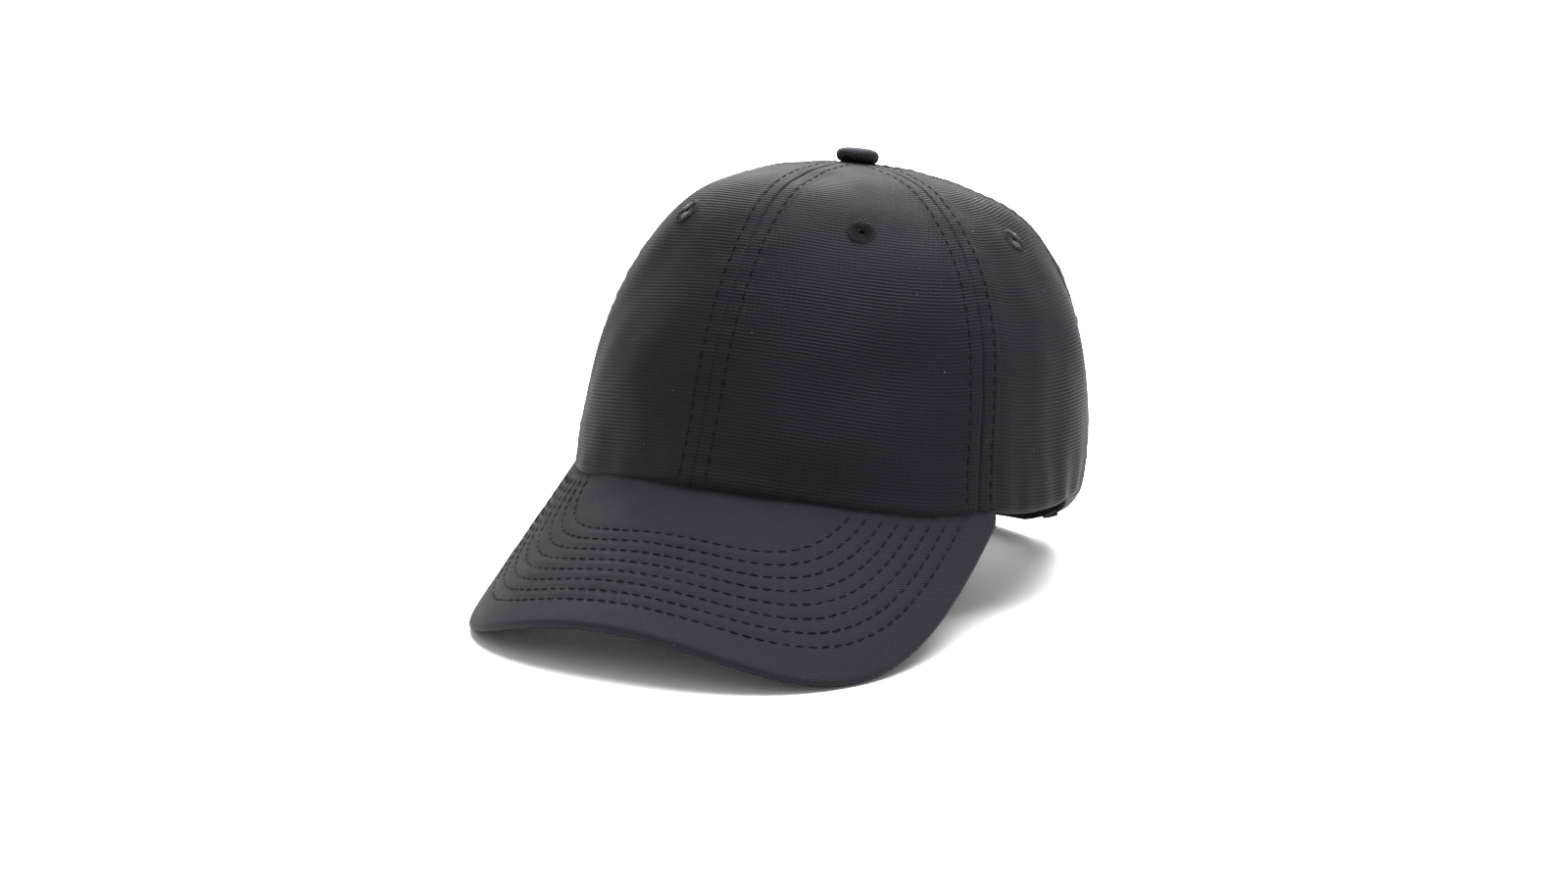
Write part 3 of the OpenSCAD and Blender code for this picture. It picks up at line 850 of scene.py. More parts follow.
def thread_material(name="Sewing thread", lighter=1.0, specular=0.06):
    if name in bpy.data.materials:
        return bpy.data.materials[name]
    material, g, shader = new_material(name)
    place = g.add("ShaderNodeTexCoord")
    twist = g.add("ShaderNodeTexNoise", Vector=place.outputs["Object"], Scale=2600.0, Detail=2.0)
    rgb = looks().thread
    g.give(shader, Base_Color=g.mix(twist.outputs[0], dark(rgb, 0.5 * lighter), dark(rgb, 1.9 * lighter)),
           Roughness=g.ranged(twist.outputs[0], 0.3, 0.7, 0.45, 0.65), Specular_IOR_Level=specular)
    g.relief(shader, twist.outputs[0], 0.8, 0.06)
    return material


def board_plastic():
    material, g, shader = new_material("Moulded board")
    place = g.add("ShaderNodeTexCoord")
    grain = g.add("ShaderNodeTexNoise", Vector=place.outputs["Object"], Scale=700.0, Detail=3.0)
    rgb = looks().board
    g.give(shader, Base_Color=g.mix(grain.outputs[0], dark(rgb, 0.9), dark(rgb, 1.05)),
           Roughness=g.ranged(grain.outputs[0], 0.3, 0.7, 0.42, 0.6))
    g.relief(shader, grain.outputs[0], 0.4, 0.05)
    return material


def metal(name, rgb, roughness):
    if name in bpy.data.materials:
        return bpy.data.materials[name]
    material, g, shader = new_material(name)
    place = g.add("ShaderNodeTexCoord")
    brushed = g.add("ShaderNodeGroup", {"node_tree": group_brushed()}, Place=place.outputs["Object"])
    uneven = g.ranged(brushed.outputs["Lines"], 0.3, 0.7, roughness - 0.07, roughness + 0.1)
    g.give(shader, Base_Color=g.mix(brushed.outputs["Marks"], dark(rgb, 0.8), dark(rgb, 1.35)),
           Roughness=uneven, Metallic=1)
    g.relief(shader, brushed.outputs["Lines"], 0.35, 0.01)
    return material


def buckle_metal():
    return metal("Gunmetal plating", looks().metal, 0.34)


def pressed_aluminium():
    return metal("Pressed aluminium", (0.62, 0.62, 0.63), 0.38)


# ---- pieces

def arc_height(a, v):
    """Length of cloth from the opening's edge up to v, for each column of angles."""
    steps = np.linspace(0, 1, 240)[None, :] * v.max(axis=1)[:, None]
    points = crown_point(a[:, None], steps)
    run = np.concatenate([np.zeros((len(a), 1)),
                          np.cumsum(np.linalg.norm(np.diff(points, axis=1), axis=-1), axis=1)], axis=1)
    return np.stack([np.interp(v[i], steps[i], run[i]) for i in range(len(a))])


def arch_low(a):
    """Height of the arch's edge above the opening's edge."""
    s = sizes()
    part = np.clip(np.abs(np.pi - np.abs(a)) / s.arch_half, 0, 1)
    return s.arch_h * np.sqrt(1 - part ** 2)


PANEL_COLUMNS, PANEL_ROWS = 97, 126
BACK_COLUMNS, ARCH_COLUMNS = 40, 52
SEAM_CROWDING = 0.09  # columns stand closer beside the seams
HEM_CROWDING = 1.55  # rows stand closer over the hem


def panel_angles(a0, a1, back):
    s = sizes()
    a0, a1 = math.radians(a0), math.radians(a1)
    if not back:
        t = np.linspace(0, 1, PANEL_COLUMNS)
        return a0 + (a1 - a0) * (t - SEAM_CROWDING * np.sin(2 * np.pi * t))
    plain_part = np.linspace(a0, math.pi - s.arch_half, BACK_COLUMNS)
    arch_part = math.pi - s.arch_half * np.cos(np.linspace(0, math.pi / 2, ARCH_COLUMNS))
    return np.concatenate([plain_part, arch_part[1:]])


def crown_panel(label, side_name, side, a0, a1):
    back = label == "back"
    angles = panel_angles(a0, a1, back)
    low = share_at(angles, arch_low(angles) + LAYER_GAP) if back else np.zeros_like(angles)
    low = np.where(np.pi - angles < sizes().arch_half - TINY, low, 0) if back else low
    top = share_at_radius(angles, TOP_HOLE_R)
    rows = np.linspace(0, 1, PANEL_ROWS) ** HEM_CROWDING
    a = angles * side
    order = slice(None) if side > 0 else slice(None, None, -1)
    a, low, top = a[order], low[order], top[order]
    v = low[:, None] + (top - low)[:, None] * rows[None, :]
    grid_a = np.broadcast_to(a[:, None], v.shape)
    base = crown_point(grid_a, v)
    points = crown_at(grid_a, v, crown_relief(grid_a, v))
    radius = middle_r(base)
    middle = side * math.radians((a0 + a1) / 2)
    uv = np.stack([(grid_a - middle) * radius, arc_height(a, v)], -1)
    centre = crown_point(middle, EYELET_SHARE)
    mid = (base[:-1, :-1] + base[1:, 1:]) / 2
    keep = np.linalg.norm(mid - centre, axis=-1) > EYELET_CUT_R
    name = f"panel_{label}_{side_name}"
    obj = cloth(f"crown_{name}", points, uv, sizes().cloth_t, crown_cloth(), keep)
    sewn_sheet(obj, "crown_cloth", [name])


def seam_path(a, aside, out, v):
    """A line beside a seam, at a distance from it, and the surface's normals, turned in on the inside."""
    beside = a + aside / middle_r(crown_point(a, v))
    outside = out >= 0
    lift = crown_relief(beside, v) + out if outside else out
    return crown_at(beside, v, lift), crown_normal(beside, v) * (1 if outside else -1)


def rows_beside(a, out, start_h, end_r=11 * MM):
    """Rows on both sides of a seam, from that height over the opening's edge to that middle distance."""
    shares = np.linspace(float(share_at(a, start_h)), float(share_at_radius(a, end_r)), 160)
    return [seam_path(a, aside, out, shares) for aside in (-sewing().seam_row, sewing().seam_row)]


class CAP_OT_panels(bpy.types.Operator):
    """Sew the six crown panels, with their seams, soft dents and rolled lower edge"""
    bl_idname = "cap.panels"
    bl_label = "Crown panels"

    def execute(self, context):
        for panel in SIX:
            crown_panel(*panel)
        return {"FINISHED"}


ROW_START = 4 * MM  # the rows begin this far above an edge
ROW_START_SIDE = 3.2 * MM
THREAD_LIFT = 0.02 * MM


class CAP_OT_topstitch(bpy.types.Operator):
    """Run two rows of stitches beside every crown seam"""
    bl_idname = "cap.topstitch"
    bl_label = "Crown topstitching"

    def execute(self, context):
        s = sizes()
        for seam in SEAMS:
            for side_name, side in SIDES if seam not in (0, 180) else (("middle", 1),):
                a = side * math.radians(seam)
                start = s.arch_h + ROW_START if seam == 180 else ROW_START_SIDE
                runs = rows_beside(a, THREAD_LIFT, start)
                stitches(f"topstitch_{seam}_{side_name}", runs, seed=seam + side)
        return {"FINISHED"}


class CAP_OT_eyelets(bpy.types.Operator):
    """Embroider the six air holes as rings of thread laid from the hole outwards"""
    bl_idname = "cap.eyelets"
    bl_label = "Thread eyelets"

    def execute(self, context):
        s = sizes()
        threads, per_thread, around = 34, 6, 16
        uneven, notch = 0.16 * MM, 0.28 * MM
        low, tall_ridge, flatness = 0.42, 0.52, 0.75
        root, sink = 0.45 * MM, 0.1 * MM
        rng = np.random.default_rng(3)
        outer, inner = s.eyelet_d / 2, s.eyelet_hole / 2
        for label, side_name, side, a0, a1 in SIX:
            a = side * math.radians((a0 + a1) / 2)
            normal = crown_normal(a, EYELET_SHARE)
            relief = crown_relief(np.array([a]), np.array([EYELET_SHARE]))
            centre = crown_at(a, EYELET_SHARE, relief[0] - sink)
            across = unit(np.cross((0, 0, 1), normal))
            up = np.cross(normal, across)
            n = threads * per_thread
            turn = 2 * np.pi * np.arange(n) / n
            ridge = np.abs(np.sin(turn * threads / 2)) ** 1.1
            ends = np.repeat(rng.normal(0, uneven, threads), per_thread)
            psi = 2 * np.pi * np.arange(around) / around
            far = outer + ends - notch * (1 - ridge)
            mid, half = (far + inner) / 2, (far - inner) / 2
            radius = mid[:, None] + half[:, None] * np.cos(psi)[None, :]
            tall = (low + tall_ridge * ridge)[:, None] * MM
            h = tall * np.sign(np.sin(psi)) * np.abs(np.sin(psi)) ** flatness - (np.sin(psi) < 0) * root
            points = centre + radius[..., None] * (np.cos(turn)[:, None, None] * across
                                                   + np.sin(turn)[:, None, None] * up) \
                + h[..., None] * normal
            uv = np.stack([np.broadcast_to(turn[:, None], radius.shape) * outer, radius], -1)
            name = f"eyelet_{label}_{side_name}"
            obj = swept(f"thread_{name}", points, thread_material("Eyelet thread", 2.5, 0.22), uv,
                        closed=True)
            wear(obj, "eyelet_thread", name)
        return {"FINISHED"}


def button_base():
    """Height of the button's underside over the cloth round the top hole."""
    a = np.radians(np.arange(0, 181, 30))
    return float(crown_point(a, share_at_radius(a, TOP_HOLE_R))[:, 2].max()) - BUTTON_SINK


class CAP_OT_button(bpy.types.Operator):
    """Cover the top button with crown cloth, gathered under its edge; its colour is painted twice as bright,
    as painted light from above
    """
    bl_idname = "cap.button"
    bl_label = "Covered button"

    def execute(self, context):
        s = sizes()
        around, profile = 96, 34
        rim_square, side_square = 0.62, 0.8
        gathers, gather_depth, gather_h = 17, 0.022, 0.35
        t = np.linspace(-0.46 * np.pi, 0.5 * np.pi, profile)
        r = BUTTON_R * np.abs(np.cos(t)) ** rim_square
        z = BUTTON_H / 2 + np.sign(t) * BUTTON_H / 2 * np.abs(np.sin(t)) ** side_square
        turn = 2 * np.pi * np.arange(around) / around
        low = smooth((gather_h - z / BUTTON_H) / gather_h)
        gather = 1 + gather_depth * low[None, :] * np.sin(gathers * turn)[:, None]
        radius = r[None, :] * gather
        points = np.stack([radius * np.cos(turn)[:, None], s.top_y + radius * np.sin(turn)[:, None],
                           button_base() + np.broadcast_to(z, radius.shape)], -1)
        uv = points[..., :2] + np.stack([np.zeros_like(radius), 0.7 * points[..., 2]], -1)
        faces = grid_faces(around, profile, wrap=True)
        obj = new_piece("button_cloth_painted_light", stand(points), faces, button_cloth_painted_light(), uv)
        with editing(obj.data) as bm:
            bmesh.ops.remove_doubles(bm, verts=bm.verts, dist=0.01 * MM)
            bmesh.ops.recalc_face_normals(bm, faces=bm.faces)
        thicken(obj, 0.6 * MM)
        wear(obj, "crown_cloth", "button_cover")
        return {"FINISHED"}


TAPE_FOOT = 0.01  # share up the panel at which the tapes begin
TAPE_ROWS, TAPE_BACK_ROWS, TAPE_COLUMNS = 110, 80, 9


def tape_grid(a, shares, out, flip=1):
    """A flat strip along a seam: rows of points across it, one row for each share."""
    p = crown_at(a, shares, out)
    n = crown_normal(a, shares)
    ahead = crown_point(a, np.minimum(shares + SHARE_STEP, 1)) - crown_point(a, shares)
    across = unit(np.cross(ahead, n)) * flip
    x = np.linspace(-0.5, 0.5, TAPE_COLUMNS) * sizes().tape_w
    return p[None, :, :] + x[:, None, None] * across[None, :, :]


class CAP_OT_tapes(bpy.types.Operator):
    """Lay the flat tapes over the seams inside the crown and stitch them along both edges"""
    bl_idname = "cap.tapes"
    bl_label = "Seam tapes"

    def execute(self, context):
        s = sizes()
        out = -s.cloth_t - 2 * LAYER_GAP
        for label, seam in (("front", 63), ("back", 121)):
            for side_name, side in SIDES:
                a = side * math.radians(seam)
                v = np.linspace(float(share_at_radius(a, TAPE_END_R)), TAPE_FOOT, TAPE_ROWS)
                self.strip(f"tape_{label}_{side_name}", tape_grid(a, v, out))
                runs = rows_beside(a, out - TAPE_T, ROW_START, TAPE_END_R + 2 * MM)
                stitches(f"tape_stitch_{label}_{side_name}", runs, seed=seam)
        front = np.linspace(TAPE_FOOT, float(share_at_radius(0, TOP_HOLE_R)), TAPE_ROWS)
        back = np.linspace(float(share_at_radius(np.pi, TOP_HOLE_R)),
                           float(share_at(np.pi, s.arch_h + 0.5 * MM)), TAPE_BACK_ROWS)
        points = np.concatenate([tape_grid(0, front, out, -1), tape_grid(np.pi, back, out, 1)], axis=1)
        self.strip("tape_middle", points)
        runs = rows_beside(0, out - TAPE_T, ROW_START)
        runs += rows_beside(np.pi, out - TAPE_T, s.arch_h + ROW_START)
        stitches("tape_stitch_middle", runs, seed=9)
        return {"FINISHED"}

    def strip(self, name, points):
        run = run_along(points[TAPE_COLUMNS // 2])
        across = np.linspace(-0.5, 0.5, TAPE_COLUMNS) * sizes().tape_w
        uv = np.stack(np.broadcast_arrays(across[:, None], run[None, :]), -1)
        mid = (points[:-1, :-1] + points[1:, 1:]) / 2
        post = (0, sizes().top_y)
        keep = np.linalg.norm(mid[..., :2] - post, axis=-1) > TAPE_HOLE_R
        obj = cloth(f"seam_{name}", points, uv, TAPE_T, tape_cloth(), keep)
        sewn_sheet(obj, "seam_tape", [name])


# ---- the peak's pieces

COVER_T = 0.7 * MM
EDGE_ROLL_R = 2.1 * MM  # the covers meet round the board's edge with this radius
COVER_COLUMNS, COVER_ROWS, ROLL_ROWS = 221, 104, 9
END_FROM, END_REACH = math.radians(61), math.radians(4)
COVERS = (  # node, how far in it starts, face, where its rows of stitches begin
    ("peak_cover_top", -7.0 * MM, 1, 0.3 * MM),
    ("peak_cover_under", -5.6 * MM, -1, -2.5 * MM),
)


def row_insets():
    w = sewing()
    return w.row_inset + w.row_gap * np.arange(w.peak_rows)


DIP_SHARP, DIP_WIDTH = 1.7, 1.3 * MM


def quilted(inset):
    """The covers sink along each row of stitches and stand between the rows."""
    w = sewing()
    rows = row_insets()
    nearest = np.min([np.abs(inset - row) for row in rows], axis=0)
    inside = (inset > rows[0]) & (inset < rows[-1])
    dip = np.where(inside, np.abs(np.cos(np.pi * np.clip(nearest / w.row_gap, 0, 0.5))) ** DIP_SHARP,
                   bell(nearest, DIP_WIDTH))
    return -w.row_dip * dip


def cover_grid(out, side):
    """Grid over one cover: side is 1 above and -1 below; rows run from the opening to the edge."""
    s = sizes()
    t = np.radians(np.linspace(179.6, 0.4, COVER_COLUMNS))
    a = -s.peak_end * np.cos(t)
    tuck = out * (1 - 0.5 * smooth((np.abs(a) - END_FROM) / END_REACH))
    start = np.stack([rim_u(a, tuck), rim_w(a, tuck)], -1)
    lying = peak_place(rim_u(a, 0), rim_w(a, 0), 0)[:, 2]
    rise = rim_z(a) - lying + 0.4 * MM if side > 0 else 0 * a
    end = np.stack(edge_line(t, 0), -1)
    reach = np.linalg.norm(end - start, axis=-1)
    near_edge = EDGE_ROLL_R * (1 - np.cos(np.linspace(np.pi / 2, 0, ROLL_ROWS)[1:]))
    body = np.linspace(0, 1, COVER_ROWS)
    shares = np.concatenate([body[None, :] * (1 - EDGE_ROLL_R / reach)[:, None],
                             1 - near_edge[None, :] / reach[:, None]], axis=1)
    m = start[:, None, :] + (end - start)[:, None, :] * shares[..., None]
    inset = inset_at(m[..., 0], m[..., 1])
    high = (cover_h() + s.cloth_t) * np.sqrt(1 - np.clip(1 - inset / EDGE_ROLL_R, 0, 1) ** 2)
    soft = 0.10 * MM * wave_sum(np.concatenate([m, np.zeros_like(m[..., :1])], -1), CREASES)
    from_rim = np.linalg.norm(m - start[:, None, :], axis=-1)
    wedge = np.maximum(rise, 0)[:, None] * (1 - smooth((from_rim - 3 * MM) / (9 * MM)))
    wedge = wedge * smooth(inset / (4 * MM))
    h = side * (high + quilted(inset) + soft * smooth(inset / (8 * MM))) + wedge
    return peak_place(m[..., 0], m[..., 1], h - peak_sink()), m


def peak_run(inset, side, clear):
    """One row of stitches on a cover, cut off where it runs under the crown."""
    s = sizes()
    t = np.radians(np.linspace(179.5, 0.5, 1400))
    u, w = edge_line(t, inset)
    h = side * (cover_h() + s.cloth_t - sewing().row_dip) - peak_sink()
    p = peak_place(u, w, h)
    normal = unit(peak_place(u, w, h + side * MM) - p)
    a = np.arctan2(p[:, 0], -p[:, 1])
    seen = (np.hypot(p[:, 0], p[:, 1]) > rim_r(a) + clear) & (w > peak_ends()[1] + 1.5 * MM)
    return p[seen] + normal[seen] * 0.05 * MM, normal[seen]


class CAP_OT_peak(bpy.types.Operator):
    """Cover the peak's board above and below and quilt it with rows of stitches"""
    bl_idname = "cap.peak"
    bl_label = "Peak"

    def execute(self, context):
        materials = (peak_cloth(), under_cloth())
        for (name, out, side, clear), material in zip(COVERS, materials):
            points, m = cover_grid(out, side)
            if side < 0:
                points, m = points[::-1], m[::-1]
            obj = cloth(f"cloth_{name}", points, m, COVER_T, material)
            sewn_sheet(obj, "peak_cloth", [name])
            runs = [peak_run(inset, side, clear) for inset in row_insets()]
            where = "above" if side > 0 else "below"
            stitches(f"peak_rows_{where}", runs, seed=20 + side)
        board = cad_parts["peak_board"]
        board.data.materials.clear()
        board.data.materials.append(board_plastic())
        return {"FINISHED"}


# ---- inside and behind

def sweat_wave(a, depth, h):
    """Ripple of the sweatband's upper part."""
    return depth * MM * np.sin(a * 23 + 2 * np.sin(a * 5)) * smooth((h - 14 * MM) / (18 * MM))


def sweat_fold(h):
    """How far the lower part of the sweatband folds back out."""
    return SWEAT_FOLD_OUT * (1 - smooth(h / (8 * MM)))


class CAP_OT_sweatband(bpy.types.Operator):
    """Fold the sweatband inside the head opening and sew a blank care label behind it"""
    bl_idname = "cap.sweatband"
    bl_label = "Sweatband and label"

    def execute(self, context):
        s = sizes()
        reach = math.pi - s.arch_half - math.radians(1)
        a = np.linspace(-reach, reach, 300)
        high = np.concatenate([np.linspace(0.6, 6, 9), np.linspace(7, s.sweat_h / MM, 22)]) * MM
        grid_a, h = np.meshgrid(a, high, indexing="ij")
        v = share_at(grid_a, h)
        ripple = sweat_wave(grid_a, 0.35, h)
        out = SWEAT_OUT + sweat_fold(h) + ripple * 0.6
        points = crown_at(grid_a, v, out)
        uv = np.stack([grid_a * MEAN_R, h], -1)
        obj = cloth("folded_sweatband", points, uv, SWEAT_CLOTH_T, sweat_cloth())
        sewn_sheet(obj, "sweatband_cloth", ["sweatband"])
        runs = []
        for height in (4.4 * MM, s.sweat_h - 2.6 * MM):
            share = share_at(a, height)
            out_here = SWEAT_OUT + sweat_fold(height) - SWEAT_CLOTH_T
            wave = sweat_wave(a, 0.21, height)
            runs.append((crown_at(a, share, out_here + wave - 0.03 * MM), -crown_normal(a, share)))
        stitches("sweatband_stitch", runs, seed=31)
        a = np.linspace(LABEL_AT - LABEL_HALF, LABEL_AT + LABEL_HALF, 30)
        high = np.linspace(6, 6 + LABEL_W / MM, 22) * MM
        grid_a, h = np.meshgrid(a, high, indexing="ij")
        out = SWEAT_OUT - SWEAT_T - LAYER_GAP - 0.5 * MM * smooth((h - 14 * MM) / (10 * MM))
        points = crown_at(grid_a, share_at(grid_a, h), out)
        uv = np.stack([grid_a * MEAN_R, h], -1)
        obj = cloth("blank_label", points, uv, 0.3 * MM, label_cloth())
        sewn_sheet(obj, "label_cloth", ["care_label"])
        return {"FINISHED"}


BINDING_SECTION = (  # millimetres in from the arch's edge, and out
    (-5.2, 0.62), (-5.0, 0.78), (1.0, 0.80), (1.8, 0.55), (2.2, 0.0), (2.3, -0.5),
    (2.1, -1.0), (1.6, -1.4), (0.9, -1.6), (-5.0, -1.6), (-5.2, -1.45),
    (-5.0, -1.2), (0.4, -1.2), (0.7, -0.4), (0.4, 0.3), (-5.0, 0.35),
)


def arch_line(t, out, inset):
    """A line along the arch's edge, at an inset from it, and the surface's normals."""
    s = sizes()
    half = s.arch_half - inset / s.rim_back
    a = np.pi - half * np.cos(t)
    v = share_at(a, np.maximum((s.arch_h - inset) * np.sin(t), 0.05 * MM))
    return crown_at(a, v, out), crown_normal(a, v)


class CAP_OT_binding(bpy.types.Operator):
    """Fold the binding tape over the edge of the arch opening and stitch it down"""
    bl_idname = "cap.binding"
    bl_label = "Arch binding"

    def execute(self, context):
        t = np.linspace(0.004, np.pi - 0.004, 130)
        section = np.array(BINDING_SECTION) * MM
        rings = np.stack([arch_line(t, out, inset)[0] for inset, out in section], axis=1)
        run = run_along(rings[:, 4])
        round_it = np.linspace(0, 16 * MM, len(section))
        uv = np.stack(np.broadcast_arrays(round_it[None, :], run[:, None]), -1)
        obj = swept("folded_binding", rings, tape_cloth(), uv)
        wear(obj, "seam_tape", "arch_binding")
        runs = []
        for out, sign in ((0.82 * MM, 1), (-1.62 * MM, -1)):
            path, normals = arch_line(np.linspace(0.02, np.pi - 0.02, 300), out, -3.9 * MM)
            runs.append((path, normals * sign))
        stitches("binding_stitch", runs, seed=41)
        return {"FINISHED"}


BAND_ROWS = 15
BAND_ROW_IN = 2.2 * MM  # rows of stitches this far in from a band's edges


def band_share(a, x):
    """Share up the panel at distance x above the strap's lower edge."""
    return share_at(a, np.maximum(0.5 * MM, STRAP_Z - rim_z(a)) + x)


def band_grid(a0, a1, columns, outs):
    """Grid and cloth coordinates of a band of the strap's width round the back."""
    a = np.linspace(a0, a1, columns)
    x = np.linspace(0, sizes().strap_w, BAND_ROWS)
    grid_a, grid_x = np.meshgrid(a, x, indexing="ij")
    out = np.broadcast_to(np.asarray(outs(a))[:, None], grid_a.shape)
    from_edge = np.minimum(grid_x, sizes().strap_w - grid_x)
    edge = 0.18 * MM * bell(from_edge - BAND_ROW_IN, 0.7 * MM)
    uv = np.stack([grid_x, grid_a * MEAN_R], -1)
    return crown_at(grid_a, band_share(grid_a, grid_x), out - edge, firm=True), uv


def band_rows(a0, a1, outs, face=1.0):
    """A row of stitches along each edge of a band."""
    runs = []
    a = np.linspace(a0, a1, 200)
    for x in (BAND_ROW_IN, sizes().strap_w - BAND_ROW_IN):
        share = band_share(a, x)
        path = crown_at(a, share, outs(a) + THREAD_LIFT * face, firm=True)
        runs.append((path, crown_normal(a, share) * face))
    return runs


def buckle_axes():
    """Middle of the strap under the buckle and the buckle's own axes: out, along the strap, up."""
    s = sizes()
    a = math.pi + s.buckle_at
    share = share_at(a, STRAP_Z + s.strap_w / 2 - rim_z(a))
    out = crown_normal(a, share)
    along = unit(np.array([-out[1], out[0], 0.0]))
    middle = crown_at(a, share, STRAP_OUT - STRAP_T / 2, firm=True)
    return middle, out, along, np.cross(out, along)


def strap_out(a):
    return np.full_like(a, STRAP_OUT)


def strap_in(a):
    return np.full_like(a, STRAP_OUT) - STRAP_T


class CAP_OT_strap(bpy.types.Operator):
    """Sew the strap and the short tab that holds the buckle"""
    bl_idname = "cap.strap"
    bl_label = "Strap and tab"

    def execute(self, context):
        s = sizes()
        a0 = math.pi - s.arch_half - math.radians(9)
        a1 = math.pi + s.arch_half + math.radians(14)
        points, uv = band_grid(a0, a1, 150, strap_out)
        obj = cloth("sewn_strap", points, uv, STRAP_T, crown_cloth())
        sewn_sheet(obj, "crown_cloth", ["strap"])
        runs = band_rows(a0, a1, strap_out) + band_rows(a0, a1, strap_in, -1.0)
        stitches("strap_stitch", runs, seed=51)

        middle, out, along, up = buckle_axes()
        r = BAR_R + BAR_CLEAR + TAB_T
        turn = math.pi + s.buckle_at
        start = turn + (BAR[1] + 1.6 * MM) / float(rim_r(turn))
        sunk = turn + s.arch_half - s.buckle_at - math.radians(5)
        end = math.pi + s.arch_half + math.radians(9)

        def lift(a):
            return TAB_START + (TAB_OUT - TAB_START) * np.clip((a - start) / (sunk - start), 0, 1)

        band = band_grid(start + math.radians(0.8), end, 60, lift)[0]
        tail = [(BAR[0] - r, BAR[1] + y * MM) for y in (7, 5.5, 4, 2.5, 1.2)]
        loop = [(BAR[0] + r * math.cos(g), BAR[1] + r * math.sin(g))
                for g in np.linspace(math.pi, 2 * math.pi, 17)]
        across = np.linspace(-0.5, 0.5, band.shape[1]) * s.strap_w
        wrap = np.array([[middle + x * out + y * along + z * up for z in across]
                         for x, y in tail + loop])
        points = np.concatenate([wrap, band], axis=0)
        run = run_along(points[:, BAND_ROWS // 2])
        from_low = np.linspace(0, s.strap_w, band.shape[1])
        uv = np.stack(np.broadcast_arrays(from_low[None, :], run[:, None]), -1)
        obj = cloth("sewn_tab", points, uv, TAB_T, crown_cloth())
        sewn_sheet(obj, "crown_cloth", ["strap_tab"])
        runs = band_rows(start + math.radians(2), end, lift)
        stitches("tab_stitch", runs, seed=52)
        return {"FINISHED"}


class CAP_OT_buckle(bpy.types.Operator):
    """Break the sharp edges of the buckle's frame and lever and plate the metal parts"""
    bl_idname = "cap.buckle"
    bl_label = "Buckle and button metal"

    def execute(self, context):
        for name, body in (("buckle_frame", "cap"), ("buckle_lever", "lever")):
            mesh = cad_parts[name].data.copy()
            obj = bpy.data.objects.new(f"plated_{name}", mesh)
            context.scene.collection.objects.link(obj)
            with editing(mesh) as bm:
                bmesh.ops.remove_doubles(bm, verts=bm.verts, dist=0.005 * MM)
                bmesh.ops.dissolve_limit(bm, angle_limit=math.radians(2), verts=bm.verts, edges=bm.edges)
            mesh.materials.clear()
            mesh.materials.append(buckle_metal())
            pick(obj)
            bevel = obj.modifiers.new("edges", "BEVEL")
            bevel.width = 0.28 * MM
            bevel.segments = 3
            bevel.limit_method = "ANGLE"
            bevel.angle_limit = math.radians(40)
            bpy.ops.object.modifier_apply(modifier=bevel.name)
            bpy.ops.object.shade_smooth_by_angle(angle=math.radians(35))
            wear(obj, "buckle_metal", name, body=body)
        for name, material in (("buckle_pin", buckle_metal()), ("button_core", pressed_aluminium()),
                               ("button_washer", pressed_aluminium())):
            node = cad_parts[name]
            node.data.materials.clear()
            node.data.materials.append(material)
        return {"FINISHED"}


# ---- studio

SOFTBOXES = (  # name, place, size, share of the overhead light's power
    ("overhead", (0.15, 0.25, 1.5), 1.3, 1.0),
    ("behind", (-0.9, 1.5, 1.15), 1.2, 0.7),
)
CAMERA_TURNS = (30.06, 13.31, -0.845)  # degrees round the cap, above it and rolled
AIM = (0, 0.0124, 0.0508)
DISTANCE = 1.4313
LENS = 91.6
LENS_SHIFT = (-0.03655, -0.04457)


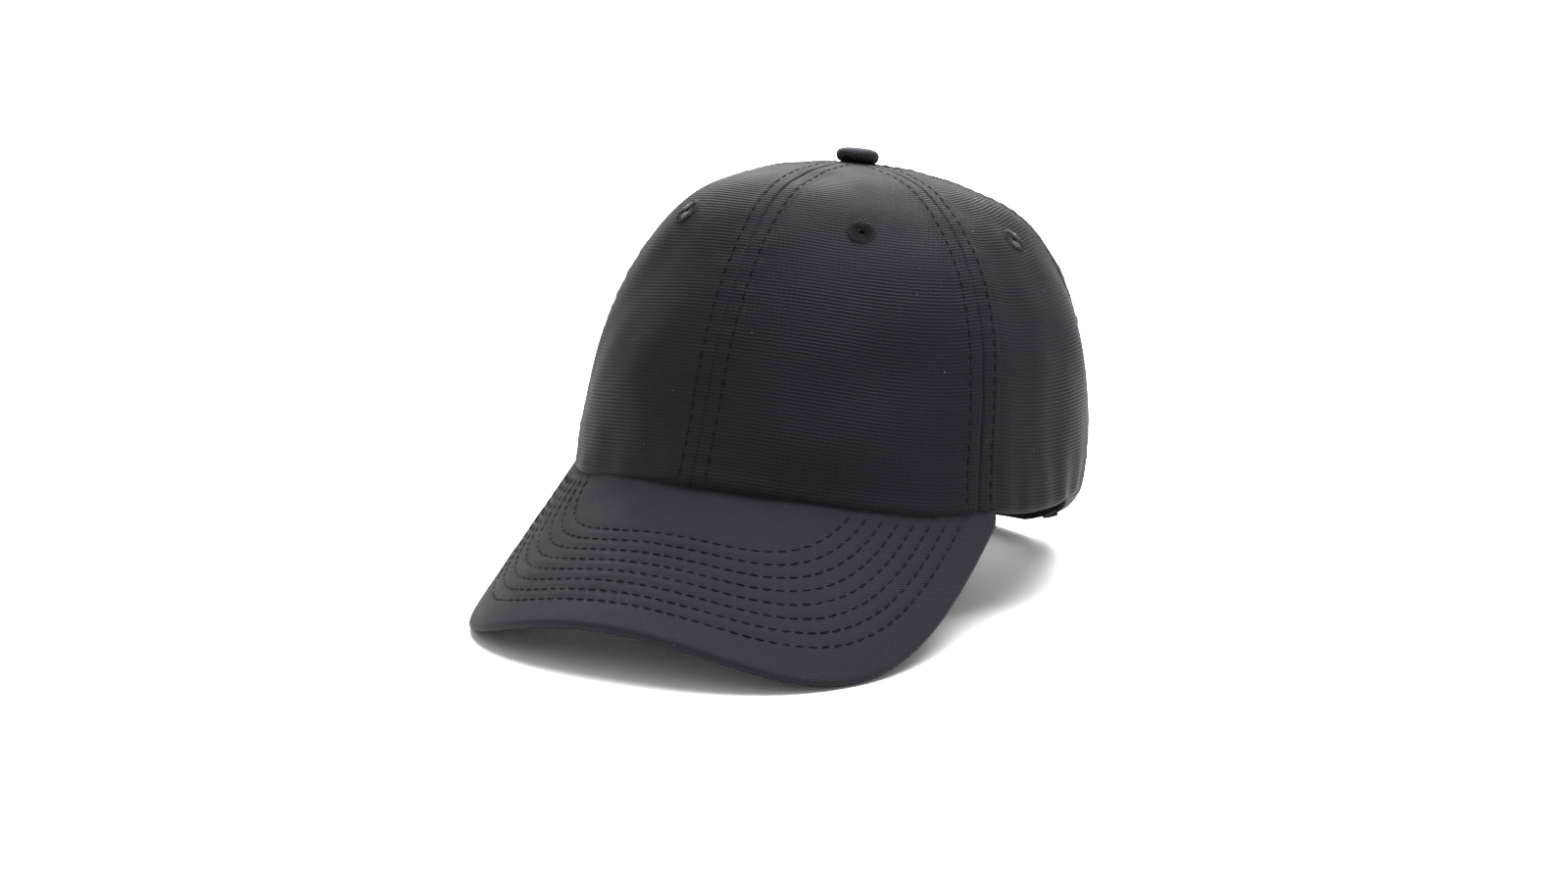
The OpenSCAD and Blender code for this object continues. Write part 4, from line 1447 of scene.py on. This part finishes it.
class CAP_OT_studio(bpy.types.Operator):
    """Set up the pale floor, the soft overhead light and the camera"""
    bl_idname = "cap.studio"
    bl_label = "Studio"

    def execute(self, context):
        scene, look = context.scene, looks()
        bpy.ops.object.select_all(action="DESELECT")
        bpy.ops.mesh.primitive_plane_add(size=30, location=(0, 0, 0))
        floor = context.object
        floor.name = "studio_floor"
        material, g, shader = new_material("Pale floor")
        g.give(shader, Base_Color=(*look.floor, 1), Roughness=0.9, Specular_IOR_Level=0.1)
        floor.data.materials.append(material)
        world = bpy.data.worlds.new("Studio surround")
        world.use_nodes = True
        world.node_tree.nodes["Background"].inputs["Color"].default_value = (1, 1, 1, 1)
        world.node_tree.nodes["Background"].inputs["Strength"].default_value = look.sky
        scene.world = world
        scene.view_settings.view_transform = "Standard"
        for name, place, size, share in SOFTBOXES:
            self.softbox(name, place, size, share * look.key)
        self.camera(scene)
        return {"FINISHED"}

    def softbox(self, name, place, size, power):
        light = bpy.data.lights.new(name, "AREA")
        light.size = size
        light.energy = power
        obj = bpy.data.objects.new(name, light)
        obj.location = place
        obj.visible_camera = False
        obj.rotation_mode = "QUATERNION"
        obj.rotation_quaternion = (Vector((0, 0.02, 0.08)) - Vector(place)).to_track_quat("-Z", "Y")
        bpy.context.scene.collection.objects.link(obj)

    def camera(self, scene):
        around, above, roll = (math.radians(turn) for turn in CAMERA_TURNS)
        aim = Vector(stand((0, 0.0, 0.0)).tolist()) + Vector(AIM)
        back = Vector((math.sin(around) * math.cos(above), -math.cos(around) * math.cos(above),
                       math.sin(above)))
        data = bpy.data.cameras.new("studio_camera")
        data.lens = LENS
        data.sensor_width = 36
        data.shift_x, data.shift_y = LENS_SHIFT
        data.clip_start, data.clip_end = 0.05, 60
        camera = bpy.data.objects.new("studio_camera", data)
        camera.location = aim + back * DISTANCE
        camera.rotation_mode = "QUATERNION"
        camera.rotation_quaternion = (-back).to_track_quat("-Z", "Y") @ Quaternion((0, 0, 1), roll)
        scene.collection.objects.link(camera)
        scene.camera = camera


OPERATORS = (CAP_OT_studio, CAP_OT_panels, CAP_OT_topstitch, CAP_OT_eyelets, CAP_OT_button, CAP_OT_tapes,
             CAP_OT_peak, CAP_OT_sweatband, CAP_OT_binding, CAP_OT_strap, CAP_OT_buckle)


class CAP_PT_pieces(bpy.types.Panel):
    """The cap's pieces, in the order they are made"""
    bl_idname = "CAP_PT_pieces"
    bl_label = "Six-panel cap"
    bl_space_type = "VIEW_3D"
    bl_region_type = "UI"
    bl_category = "Cap"

    def draw(self, context):
        for operator in OPERATORS:
            self.layout.operator(operator.bl_idname)


GROUPS = (("cap_sizes", CapSizes), ("cap_sewing", CapSewing), ("cap_looks", CapLooks))


def register():
    for name, group in GROUPS:
        bpy.utils.register_class(group)
        setattr(bpy.types.Scene, name, PointerProperty(type=group))
    for item in (*OPERATORS, CAP_PT_pieces):
        bpy.utils.register_class(item)


def unregister():
    for item in reversed((*OPERATORS, CAP_PT_pieces)):
        bpy.utils.unregister_class(item)
    for name, group in reversed(GROUPS):
        delattr(bpy.types.Scene, name)
        bpy.utils.unregister_class(group)


def main():
    register()
    for operator in OPERATORS:
        family, name = operator.bl_idname.split(".")
        getattr(getattr(bpy.ops, family), name)()


if __name__ == "__main__":
    main()
